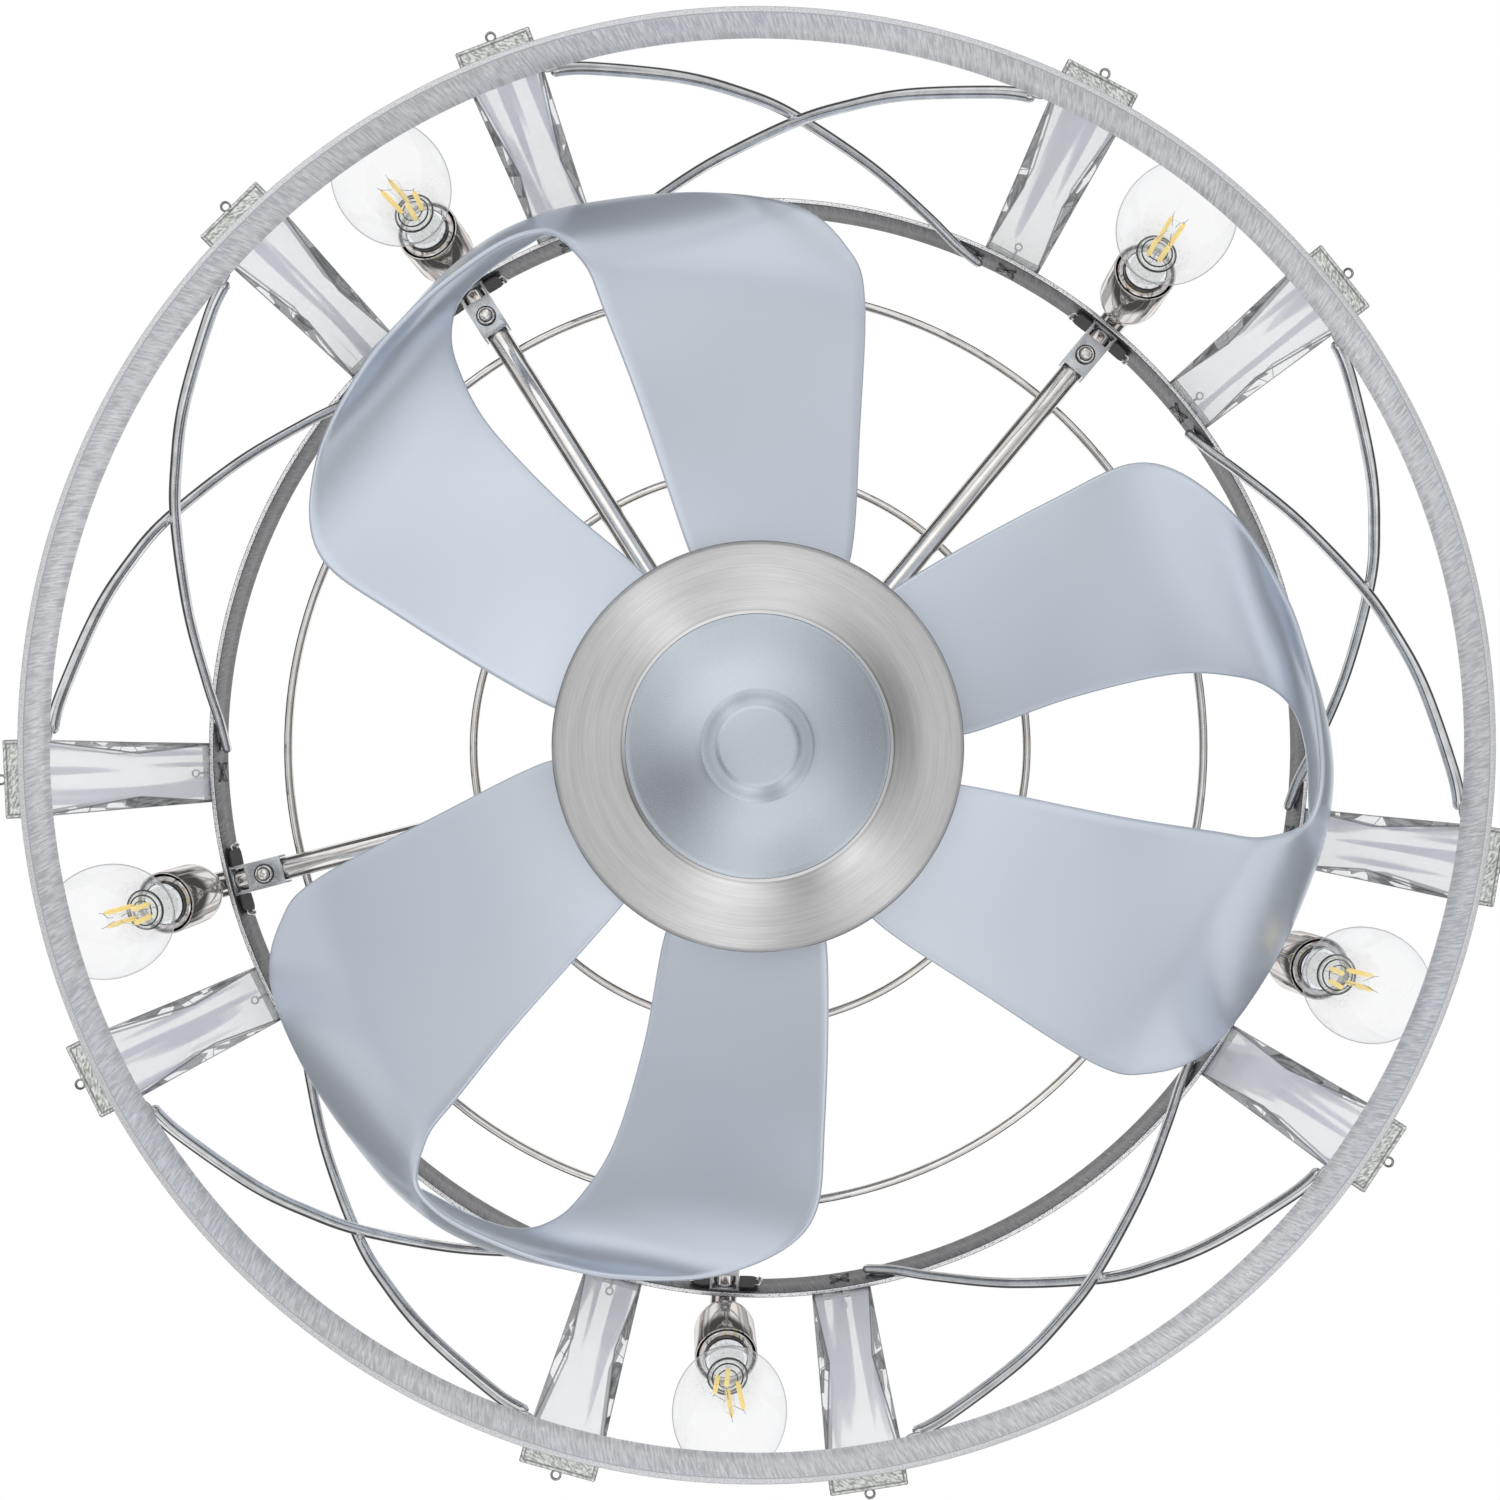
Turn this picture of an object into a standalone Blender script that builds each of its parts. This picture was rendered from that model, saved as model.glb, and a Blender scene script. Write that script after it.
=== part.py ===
# Caged ceiling fan with five lamps: a drum cage of two hoops, crossed rods and glass bars,
# and under the motor a rotor of three looped blades. Metres, +Z up, ceiling at z = 0.

import math

import bmesh
import bpy
from mathutils import Matrix, Vector

# Clearances shared by all pieces
SEAT_GAP = 0.0003
CUT_OVERRUN = 0.002
MERGE_DISTANCE = 0.00001

# Layout around the axis
ARM_COUNT = 5
ARM_PHASE = math.radians(21.7)
LOOP_COUNT = 3
LOOP_PHASE = math.radians(4.0)

# Ceiling bracket, a channel whose legs take the canopy screws
BRACKET_WIDTH = 0.024
BRACKET_THICKNESS = 0.002
BRACKET_LEG = 0.018
BRACKET_HOLE_RADIUS = 0.003
BRACKET_HOLE_OFFSET = 0.048
BRACKET_SEAT_LEFT = 0.030
BRACKET_SEAT_RIGHT = 0.014
WIRE_HOLE_RADIUS = 0.005
WIRE_HOLE_OFFSET = 0.0365

# Canopy and its screws
CANOPY_RADIUS = 0.070
CANOPY_WALL = 0.0012
CANOPY_HEIGHT = 0.045
CANOPY_CORNER = 0.007
CANOPY_CLEAR = 0.0015
SCREW_RADIUS = 0.002
SCREW_HEAD_RADIUS = 0.004
SCREW_HEAD_HEIGHT = 0.0028
SCREW_DROP = 0.012
SCREW_LENGTH = 0.011

# Hanger tube between the ceiling bracket and the arm hub
HANGER_RADIUS = 0.016
HANGER_BORE = 0.0125
HANGER_FLANGE_RADIUS = 0.028
HANGER_FLANGE_THICKNESS = 0.003
HANGER_SEAT = 0.008
HANGER_PORT_DROP = 0.014

# Arms and the hub that holds them
ARM_DROP = 0.087
ARM_RADIUS = 0.005
ARM_BORE = 0.0036
ARM_SEAT = 0.020
ARM_HUB_RADIUS = 0.050
ARM_HUB_HEIGHT = 0.022

# Cage hoops
HOOP_RADIUS = 0.240
HOOP_THICKNESS = 0.002
HOOP_HEIGHT = 0.014
HOOP_SPACING = 0.125

# Guard wires over the arms, welded a little off centre
GUARD_WIRE_RADIUS = 0.0018
GUARD_OUTER_INSET = 0.0347
GUARD_OUTER_SHIFT = 0.006
GUARD_SPACING = 0.0812
GUARD_INNER_SHIFT = 0.004

# Arm end brackets, clamped to the top hoop
END_PLATE_LENGTH = 0.016
END_PLATE_THICKNESS = 0.0009
END_LIP_HEIGHT = 0.007
FOOT_WIDTH = 0.032
FOOT_HEIGHT = 0.012
FOOT_THICKNESS = 0.0008
END_SCREW_HOLE_RADIUS = 0.0021

# Lamp holders. The first stands closer to the hoop and more upright than the rest
NIPPLE_RADIUS = 0.003
NUT_RADIUS = 0.0046
NUT_LENGTH = 0.0052
NECK_RADIUS = 0.00575
CUP_RADIUS = 0.013
CUP_WALL = 0.0008
CUP_HEAD = 0.0165
CUP_SHOULDER_START = 0.0085
CUP_SHOULDER_END = 0.0175
GROOVE_WIDTH = 0.001
SLEEVE_RECESS = 0.0015
GROOVE_DEPTH = 0.0085
HOLDER_BORE_DEPTH = 0.017
HOLDER_REACH = 0.0073
HOLDER_REACH_SHARES = (0.85, 1.0, 1.0, 1.0, 1.0)
HOLDER_TILTS = (4.5, 8.0, 10.5, 10.8, 10.0)
HOLDER_LEANS = (-1.2, -5.0, -3.2, -3.0, -4.5)

# Lamps: a glass ball with a neck, a collar and a screw base
BULB_RADIUS = 0.0225
BULB_BASE_RADIUS = 0.0059
BULB_COLLAR_RADIUS = 0.008
BULB_COLLAR_LENGTH = 0.0022
BULB_NECK_RADIUS = 0.0086
BULB_BALL_DROP = 0.0315

# Glass bars pinned outside both hoops
BAR_WIDTH = 0.026
BAR_THICKNESS = 0.008
BAR_PINCH = 0.0045
BAR_PINCH_DEPTH = 0.0028
BAR_TOP_INSET = 0.002
BAR_BOTTOM_INSET = 0.0055
BAR_ANGLES = (11.7, -12.3)

# Crossed rods between the hoops
ROD_RADIUS = 0.002
ROD_BOW = 0.0022
ROD_WELD = 0.0006
ROD_TOP_INSET = 0.006
ROD_SPREAD = math.radians(21.5)
ROD_TURN = math.radians(-0.6)
ROD_END_TILT_SHARE = 0.85
ROD_STEPS = 2

# Motor: shaft, bearings, stator, two-part rotor case and the fixed shroud
SHAFT_RADIUS = 0.008
SHAFT_FLANGE_RADIUS = 0.014
SHAFT_FLANGE_THICKNESS = 0.004
SHAFT_COLLAR_RADIUS = 0.010
SHAFT_COLLAR_LENGTH = 0.0034
SHAFT_NUT_RADIUS = 0.011
SHAFT_NUT_HEIGHT = 0.0042
BEARING_HEIGHT = 0.007
BEARING_RADIUS = 0.015
BEARING_WALL = 0.0035
ROTOR_RADIUS = 0.068
ROTOR_WALL = 0.0035
ROTOR_PLATE = 0.003
ROTOR_DEPTH = 0.0407
ROTOR_LIP = 0.003
ROTOR_LIP_RADIUS = 0.0105
MAGNET_GAP = 0.001
STATOR_HEIGHT = 0.011
WINDING_OVERHANG = 0.003
WINDING_INSET = 0.011
SHROUD_WALL = 0.0015
SHROUD_CLEARANCE = 0.0085
SHROUD_LIFT = 0.011
SHROUD_CORNER = 0.008

# Blade hub above the blade roots and the clamp under them
BLADE_HUB_RADIUS = 0.050
BLADE_HUB_BORE = 0.016
BLADE_HUB_THICKNESS = 0.004
CLAMP_THICKNESS = 0.003
CLAMP_POST_RADIUS = 0.024
CLAMP_POST_BORE = 0.018
CLAMP_POST_CLEARANCE = 0.0029

# Hub cover dish and the cap in it
COVER_RADIUS = 0.0775
COVER_WALL = 0.0012
COVER_DEPTH = 0.0135
COVER_FLOOR_RADIUS = 0.0484
COVER_HOLE_RADIUS = 0.008
COVER_RIM = 0.0012
CAP_WALL = 0.0018
CAP_EDGE = 0.0012
CAP_CONE_DEPTH = 0.0068
CAP_BOSS_RADIUS = 0.0171
CAP_BOSS_HEIGHT = 0.0036
CAP_BOSS_FILLET = 0.003

# Looped blades: one ribbon from root to root, its two edges given as rows of
# share of the tip radius, degrees from the middle of the loop, and share of the rise.
# The gap is the one between the blade tips and the hoops
BLADE_TIP_GAP = 0.012
BLADE_RISE = 0.025
BLADE_THICKNESS = 0.0022
BLADE_BOW = 0.006
BLADE_CAMBER = 0.002
BLADE_STEPS = 2
BLADE_CROSS_STEPS = 3
HIGH_EDGE_SHARES = (
    (0.171, -54.5, 0.00), (0.219, -52.0, 0.00), (0.272, -50.5, 0.00), (0.363, -52.0, 0.27),
    (0.581, -43.7, 0.51), (0.805, -39.4, 0.67), (0.889, -36.2, 0.75), (0.955, -30.2, 0.83),
    (0.983, -19.8, 0.87), (1.000, -9.0, 0.91), (0.980, -1.5, 0.93), (0.971, 3.5, 0.93),
    (0.952, 7.6, 0.91), (0.912, 10.4, 0.85), (0.851, 12.3, 0.79), (0.738, 13.9, 0.71),
    (0.555, 12.9, 0.59), (0.359, 7.5, 0.31), (0.272, 8.5, 0.00), (0.219, 7.0, 0.00),
    (0.171, 4.5, 0.00),
)
LOW_EDGE_SHARES = (
    (0.171, -4.5, 0.00), (0.219, -7.0, 0.00), (0.272, -8.5, 0.00), (0.351, -6.5, -0.17),
    (0.609, -6.9, -0.29), (0.768, -6.5, -0.29), (0.832, -6.4, -0.29), (0.873, -5.65, -0.25),
    (0.906, -4.7, -0.21), (0.930, -3.2, -0.17), (0.941, 0.5, -0.13), (0.936, 5.5, -0.13),
    (0.925, 12.0, -0.17), (0.910, 20.5, -0.19), (0.876, 31.0, -0.21), (0.800, 40.2, -0.21),
    (0.637, 44.1, -0.19), (0.351, 53.2, -0.11), (0.272, 50.5, 0.00), (0.219, 52.0, 0.00),
    (0.171, 54.5, 0.00),
)
BOW_SHARES = (
    0.0, 0.0, 0.0, 0.0, 0.0, 0.0, 0.0, 0.0, 0.2, 0.6, 1.0, 1.0, 0.8, 0.4, 0.15, 0.0,
    0.0, 0.0, 0.0, 0.0, 0.0,
)
CAMBER_SHARES = (
    0.0, 0.0, 0.0, 0.3, 1.0, 1.0, 1.0, 0.9, 0.6, 0.2, 0.0, 0.0, 0.2, 0.6, 0.9, 1.0,
    1.0, 0.3, 0.0, 0.0, 0.0,
)
# Rows of share of the drop, share of the spread, share of the way out and share of the bow
ROD_SHARES = (
    (0.000, -1.00, 0.0, 0.0), (0.060, -0.86, 0.0, 0.0), (0.154, -0.67, 0.3, 0.3),
    (0.333, -0.36, 0.7, 0.7), (0.547, 0.00, 1.0, 1.0), (0.680, 0.23, 1.0, 0.9),
    (0.803, 0.46, 1.0, 0.6), (0.949, 0.79, 1.0, 0.2), (1.000, 0.93, 1.0, 0.0),
)
CUP_SHOULDER_SHARES = ((0.0, 0.0), (0.7, 0.4), (1.0, 1.0))

# Facet counts
FINE = 90
ROUND = 45
PLAIN = 30
SMALL = 18
TINY = 12

# Levels worked out from the sizes above, from the ceiling down
HANGER_TOP = -BRACKET_THICKNESS - SEAT_GAP
ARM_Z = -ARM_DROP
ARM_HUB_TOP = ARM_Z + ARM_HUB_HEIGHT / 2
ARM_HUB_BOTTOM = ARM_Z - ARM_HUB_HEIGHT / 2
TOP_HOOP_Z = ARM_Z
BOTTOM_HOOP_Z = TOP_HOOP_Z - HOOP_SPACING
HOOP_INNER = HOOP_RADIUS - HOOP_THICKNESS
GUARD_OUTER_RADIUS = HOOP_RADIUS - GUARD_OUTER_INSET
GUARD_INNER_RADIUS = GUARD_OUTER_RADIUS - GUARD_SPACING
BLADE_TIP_RADIUS = HOOP_RADIUS - BLADE_TIP_GAP
MOTOR_TOP = ARM_HUB_BOTTOM - SEAT_GAP
SHAFT_SHOULDER = MOTOR_TOP - SHAFT_FLANGE_THICKNESS - SHAFT_COLLAR_LENGTH
UPPER_BEARING_TOP = SHAFT_SHOULDER - SEAT_GAP
ROTOR_TOP = UPPER_BEARING_TOP - SEAT_GAP
ROTOR_BOTTOM = ROTOR_TOP - ROTOR_DEPTH
SHROUD_RADIUS = ROTOR_RADIUS + SHROUD_CLEARANCE + SHROUD_WALL
SHROUD_HEIGHT = MOTOR_TOP - ROTOR_BOTTOM - SHROUD_LIFT
LOWER_BEARING_TOP = ROTOR_BOTTOM + BEARING_HEIGHT + 2 * SEAT_GAP
SHAFT_NUT_TOP = LOWER_BEARING_TOP - BEARING_HEIGHT - SEAT_GAP
BLADE_HUB_TOP = ROTOR_BOTTOM - SEAT_GAP
BLADE_HUB_BOTTOM = BLADE_HUB_TOP - BLADE_HUB_THICKNESS
BLADE_ROOT_Z = BLADE_HUB_BOTTOM - SEAT_GAP - BLADE_THICKNESS / 2
CLAMP_TOP = BLADE_ROOT_Z - BLADE_THICKNESS / 2 - SEAT_GAP
CLAMP_POST_HEIGHT = COVER_DEPTH + COVER_RIM + CLAMP_POST_CLEARANCE
CLAMP_BOTTOM = CLAMP_TOP - CLAMP_THICKNESS - CLAMP_POST_HEIGHT
COVER_FLOOR_TOP = CLAMP_BOTTOM - SEAT_GAP
CAP_TOP = COVER_FLOOR_TOP - COVER_WALL - SEAT_GAP
CANOPY_TOP = -2 * SEAT_GAP
SCREW_Z = -SCREW_DROP
BRACKET_REACH = CANOPY_RADIUS - CANOPY_WALL - CANOPY_CLEAR
FOOT_OUTER = HOOP_INNER - SEAT_GAP
FOOT_INNER = FOOT_OUTER - FOOT_THICKNESS
END_PLATE_OUTER = FOOT_INNER - NUT_LENGTH - 2 * SEAT_GAP
NECK_START = HOOP_RADIUS + SEAT_GAP
CUP_LENGTH = HOLDER_BORE_DEPTH + CUP_HEAD
SLEEVE_RADIUS = CUP_RADIUS - CUP_WALL - GROOVE_WIDTH


def clearScene():
    for obj in list(bpy.data.objects):
        bpy.data.objects.remove(obj, do_unlink=True)


def makeCollection(name):
    collection = bpy.data.collections.new(name)
    bpy.context.scene.collection.children.link(collection)
    return collection


def makeMaterial(name, colour, roughness, metallic, alpha=1.0):
    material = bpy.data.materials.new(name)
    material.use_nodes = True
    shader = material.node_tree.nodes["Principled BSDF"]
    shader.inputs["Base Color"].default_value = (*colour, 1.0)
    shader.inputs["Roughness"].default_value = roughness
    shader.inputs["Metallic"].default_value = metallic
    shader.inputs["Alpha"].default_value = alpha
    material.diffuse_color = (*colour, alpha)
    return material


clearScene()
PARTS = makeCollection("caged_ceiling_fan")
CUTTERS = makeCollection("cutters")
NICKEL = makeMaterial("brushed_nickel", (0.62, 0.60, 0.57), 0.32, 1.0)
HOOP_STEEL = makeMaterial("brushed_steel", (0.60, 0.61, 0.62), 0.38, 1.0)
ROD_CHROME = makeMaterial("rod_chrome", (0.55, 0.56, 0.57), 0.20, 1.0)
SILVER_PAINT = makeMaterial("silver_paint", (0.56, 0.62, 0.68), 0.42, 0.0)
DARK_STEEL = makeMaterial("dark_steel", (0.20, 0.20, 0.21), 0.45, 1.0)
CASE_ALUMINIUM = makeMaterial("case_aluminium", (0.70, 0.71, 0.72), 0.45, 1.0)
COPPER = makeMaterial("winding_copper", (0.55, 0.27, 0.13), 0.40, 1.0)
CLEAR_GLASS = makeMaterial("clear_glass", (0.92, 0.95, 0.94), 0.05, 0.0, 0.35)


def addObject(name, mesh, material=None, parent=None, collection=None):
    obj = bpy.data.objects.new(name, mesh)
    (collection or PARTS).objects.link(obj)
    obj.parent = parent
    if material:
        mesh.materials.clear()
        mesh.materials.append(material)
    return obj


def asCutter(obj):
    obj.hide_render = True
    obj.display_type = "WIRE"
    return obj


def addEmpty(name, location=(0.0, 0.0, 0.0), rotation=(0.0, 0.0, 0.0), parent=None):
    empty = bpy.data.objects.new(name, None)
    CUTTERS.objects.link(empty)
    empty.location = location
    empty.rotation_euler = rotation
    empty.parent = parent
    return empty


def finishMesh(mesh):
    mesh.shade_smooth()
    mesh.set_sharp_from_angle(angle=math.radians(35.0))
    return mesh


def meshFrom(shape, name):
    mesh = bpy.data.meshes.new(name)
    bmesh.ops.recalc_face_normals(shape, faces=shape.faces)
    shape.to_mesh(mesh)
    shape.free()
    return finishMesh(mesh)


def addTurned(name, profile, segments, material=None, parent=None, collection=None, closed=True):
    """A profile of (radius, z) points, down its outer side first, turned about Z."""
    mesh = bpy.data.meshes.new(name)
    count = len(profile)
    edges = [(i, i + 1) for i in range(count - 1)]
    if closed:
        edges.append((count - 1, 0))
    mesh.from_pydata([(radius, 0.0, z) for radius, z in profile], edges, [])
    obj = addObject(name, mesh, material, parent, collection)
    screw = obj.modifiers.new("Turn", "SCREW")
    screw.steps = segments
    screw.render_steps = segments
    screw.use_merge_vertices = True
    screw.merge_threshold = MERGE_DISTANCE
    screw.use_smooth_shade = True
    return obj


def evaluatedMesh(obj, name):
    """The object's finished mesh in its own frame; the object itself is removed."""
    bpy.context.view_layer.update()
    graph = bpy.context.evaluated_depsgraph_get()
    mesh = bpy.data.meshes.new_from_object(obj.evaluated_get(graph))
    mesh.transform(obj.matrix_local)
    mesh.name = name
    shape = bmesh.new()
    shape.from_mesh(mesh)
    bmesh.ops.remove_doubles(shape, verts=shape.verts, dist=MERGE_DISTANCE)
    shape.to_mesh(mesh)
    shape.free()
    bpy.data.objects.remove(obj, do_unlink=True)
    return finishMesh(mesh)


def addBoolean(obj, other, operation):
    modifier = obj.modifiers.new(operation.title(), "BOOLEAN")
    modifier.operation = operation
    modifier.solver = "EXACT"
    modifier.object = other
    return modifier


def boxMesh(name, low, high):
    shape = bmesh.new()
    size = Vector(high) - Vector(low)
    middle = (Vector(high) + Vector(low)) / 2
    matrix = Matrix.Translation(middle) @ Matrix.Diagonal((*size, 1.0))
    bmesh.ops.create_cube(shape, size=1.0, matrix=matrix)
    return meshFrom(shape, name)


def addRodsTo(shape, radius, start, end, places):
    """Cylinders along local X, from start to end, one for each turn about Z and height."""
    for turn, height in places:
        matrix = (
            Matrix.Rotation(turn, 4, "Z")
            @ Matrix.Translation(((start + end) / 2, 0.0, height))
            @ Matrix.Rotation(math.pi / 2, 4, "Y")
        )
        bmesh.ops.create_cone(
            shape, cap_ends=True, segments=TINY, radius1=radius, radius2=radius,
            depth=end - start, matrix=matrix,
        )


def radialCutter(name, radius, start, end, places):
    shape = bmesh.new()
    addRodsTo(shape, radius, start, end, places)
    return asCutter(addObject(name, meshFrom(shape, name), collection=CUTTERS))


def uprightCutter(name, radius, places, depth):
    shape = bmesh.new()
    for x, y in places:
        bmesh.ops.create_cone(
            shape, cap_ends=True, segments=TINY, radius1=radius, radius2=radius,
            depth=depth, matrix=Matrix.Translation((x, y, 0.0)),
        )
    return asCutter(addObject(name, meshFrom(shape, name), collection=CUTTERS))


def extruded(name, outline, low, high, swap=False):
    """An outline of (x, y) points pulled from low to high along Z, or along Y if swapped."""
    shape = bmesh.new()
    verts = [shape.verts.new((x, low, y) if swap else (x, y, low)) for x, y in outline]
    face = shape.faces.new(verts)
    pulled = bmesh.ops.extrude_face_region(shape, geom=[face])["geom"]
    moved = [item for item in pulled if isinstance(item, bmesh.types.BMVert)]
    offset = (0.0, high - low, 0.0) if swap else (0.0, 0.0, high - low)
    bmesh.ops.translate(shape, verts=moved, vec=offset)
    return meshFrom(shape, name)


def armTurn(index):
    return ARM_PHASE + index * math.tau / ARM_COUNT


def arc(centre, radius, first, last, steps):
    """Points of (radius, z) on an arc, angles in degrees from the outward direction."""
    points = []
    for i in range(steps + 1):
        angle = math.radians(first + (last - first) * i / steps)
        points.append((centre[0] + radius * math.cos(angle), centre[1] + radius * math.sin(angle)))
    return points


def smoothThrough(rows, steps):
    """Points on a smooth curve through every row, with the given steps between rows."""
    points = []
    last = len(rows) - 1
    for i in range(last):
        before = rows[max(i - 1, 0)]
        start = rows[i]
        end = rows[i + 1]
        after = rows[min(i + 2, last)]
        for step in range(steps):
            t = step / steps
            points.append(
                start
                + (end - before) * (t / 2)
                + (before * 2 - start * 5 + end * 4 - after) * (t * t / 2)
                + (start * 3 - before - end * 3 + after) * (t ** 3 / 2)
            )
    points.append(rows[last])
    return points


# Ceiling bracket, canopy and hanger


def addCeilingBracket():
    reach = BRACKET_REACH
    inner = reach - BRACKET_THICKNESS
    bottom = -BRACKET_THICKNESS - BRACKET_LEG
    outline = [
        (-reach, 0.0), (-BRACKET_SEAT_LEFT, 0.0), (BRACKET_SEAT_RIGHT, 0.0), (reach, 0.0),
        (reach, bottom), (inner, bottom), (inner, -BRACKET_THICKNESS), (-inner, -BRACKET_THICKNESS),
        (-inner, bottom), (-reach, bottom),
    ]
    mesh = extruded("ceiling_bracket", outline, -BRACKET_WIDTH / 2, BRACKET_WIDTH / 2, swap=True)
    bracket = addObject("ceiling_bracket", mesh, DARK_STEEL)
    depth = 2 * (BRACKET_THICKNESS + CUT_OVERRUN)
    places = [(-BRACKET_HOLE_OFFSET, 0.0), (BRACKET_HOLE_OFFSET, 0.0)]
    screwHoles = uprightCutter("ceiling_screw_holes", BRACKET_HOLE_RADIUS, places, depth)
    wireHole = uprightCutter("wire_hole", WIRE_HOLE_RADIUS, [(WIRE_HOLE_OFFSET, 0.0)], depth)
    addBoolean(bracket, screwHoles, "DIFFERENCE")
    addBoolean(bracket, wireHole, "DIFFERENCE")
    addBoolean(bracket, bpy.data.objects["canopy_screw_holes"], "DIFFERENCE")


def addCanopy():
    top = CANOPY_TOP
    bottom = top - CANOPY_HEIGHT
    inner = CANOPY_RADIUS - CANOPY_WALL
    hole = HANGER_RADIUS + SEAT_GAP
    corner = CANOPY_CORNER
    centre = (CANOPY_RADIUS - corner, bottom + corner)
    outer = [(CANOPY_RADIUS, top), *arc(centre, corner, 0.0, -90.0, 2), (hole, bottom)]
    bend = arc(centre, corner - CANOPY_WALL, -90.0, 0.0, 2)
    inside = [(hole, bottom + CANOPY_WALL), *bend, (inner, top)]
    canopy = addTurned("canopy", outer + inside, PLAIN, NICKEL)
    addBoolean(canopy, bpy.data.objects["canopy_screw_holes"], "DIFFERENCE")


def addCanopyScrews():
    head = CANOPY_RADIUS + SEAT_GAP
    profile = [
        (0.0, head + SCREW_HEAD_HEIGHT), (SCREW_HEAD_RADIUS * 0.7, head + SCREW_HEAD_HEIGHT),
        (SCREW_HEAD_RADIUS, head + SCREW_HEAD_HEIGHT / 2), (SCREW_HEAD_RADIUS, head),
        (SCREW_RADIUS, head), (SCREW_RADIUS, head - SCREW_LENGTH), (0.0, head - SCREW_LENGTH),
    ]
    for index, turn in enumerate((0.0, math.pi)):
        screw = addTurned(f"canopy_screw_{index + 1}", profile, TINY, NICKEL, closed=False)
        screw.location = (0.0, 0.0, SCREW_Z)
        screw.rotation_euler = (0.0, math.pi / 2, turn)


def addHanger():
    flangeBottom = HANGER_TOP - HANGER_FLANGE_THICKNESS
    bottom = ARM_HUB_TOP - HANGER_SEAT
    profile = [
        (HANGER_FLANGE_RADIUS, HANGER_TOP), (HANGER_FLANGE_RADIUS, flangeBottom),
        (HANGER_RADIUS, flangeBottom), (HANGER_RADIUS, bottom),
        (HANGER_BORE, bottom), (HANGER_BORE, HANGER_TOP),
    ]
    tube = addTurned("hanger_tube", profile, SMALL, NICKEL)
    port = [(math.pi / 2, HANGER_TOP - HANGER_PORT_DROP)]
    cutter = radialCutter("wire_port", WIRE_HOLE_RADIUS, HANGER_BORE / 2, HANGER_RADIUS + CUT_OVERRUN, port)
    addBoolean(tube, cutter, "DIFFERENCE")


# Arm hub, arms, guard wires and hoops


def addArmHub():
    bore = HANGER_RADIUS + SEAT_GAP
    floor = ARM_HUB_TOP - HANGER_SEAT - SEAT_GAP
    edge = HOOP_THICKNESS / 2
    profile = [
        (ARM_HUB_RADIUS - edge, ARM_HUB_TOP), (ARM_HUB_RADIUS, ARM_HUB_TOP - edge),
        (ARM_HUB_RADIUS, ARM_HUB_BOTTOM), (0.0, ARM_HUB_BOTTOM),
    ]
    profile = [(0.0, floor), (bore, floor), (bore, ARM_HUB_TOP), *profile]
    hub = addTurned("arm_hub", profile, PLAIN, NICKEL, closed=False)
    start = ARM_HUB_RADIUS - ARM_SEAT - SEAT_GAP
    end = ARM_HUB_RADIUS + CUT_OVERRUN
    places = [(armTurn(i), ARM_Z) for i in range(ARM_COUNT)]
    cutter = radialCutter("arm_sockets", ARM_RADIUS + SEAT_GAP, start, end, places)
    addBoolean(hub, cutter, "DIFFERENCE")


def addArms():
    start = ARM_HUB_RADIUS - ARM_SEAT
    profile = [
        (ARM_RADIUS, END_PLATE_OUTER), (ARM_RADIUS, start), (ARM_BORE, start), (ARM_BORE, END_PLATE_OUTER),
    ]
    for index in range(ARM_COUNT):
        arm = addTurned(f"arm_{index + 1}", profile, TINY, NICKEL)
        arm.location = (0.0, 0.0, ARM_Z)
        arm.rotation_euler = (0.0, math.pi / 2, armTurn(index))


def addGuardWires():
    height = ARM_Z + ARM_RADIUS + SEAT_GAP + GUARD_WIRE_RADIUS
    rings = (
        ("guard_wire_outer", GUARD_OUTER_RADIUS, GUARD_OUTER_SHIFT),
        ("guard_wire_inner", GUARD_INNER_RADIUS, GUARD_INNER_SHIFT),
    )
    for name, radius, shift in rings:
        profile = arc((radius, height), GUARD_WIRE_RADIUS, 0.0, -300.0, 5)
        ring = addTurned(name, profile, ROUND, NICKEL)
        ring.location = (-shift, 0.0, 0.0)


def hoopProfile(middle):
    top = middle + HOOP_HEIGHT / 2
    bottom = middle - HOOP_HEIGHT / 2
    return [(HOOP_RADIUS, top), (HOOP_RADIUS, bottom), (HOOP_INNER, bottom), (HOOP_INNER, top)]


def addHoops():
    topHoop = addTurned("top_hoop", hoopProfile(TOP_HOOP_Z), FINE, HOOP_STEEL)
    places = [(armTurn(i), TOP_HOOP_Z) for i in range(ARM_COUNT)]
    start = HOOP_INNER - CUT_OVERRUN
    end = HOOP_RADIUS + CUT_OVERRUN
    cutter = radialCutter("nipple_holes", NIPPLE_RADIUS + SEAT_GAP, start, end, places)
    addBoolean(topHoop, cutter, "DIFFERENCE")
    addTurned("bottom_hoop", hoopProfile(BOTTOM_HOOP_Z), FINE, HOOP_STEEL)


# Arm end brackets


def footOutline():
    half = (FOOT_WIDTH / 2 + CUT_OVERRUN) / FOOT_OUTER
    steps = 6
    turns = [-half + 2 * half * i / steps for i in range(steps + 1)]
    outer = [(FOOT_OUTER * math.cos(turn), FOOT_OUTER * math.sin(turn)) for turn in turns]
    inner = [(FOOT_INNER * math.cos(turn), FOOT_INNER * math.sin(turn)) for turn in reversed(turns)]
    return outer + inner


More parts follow.
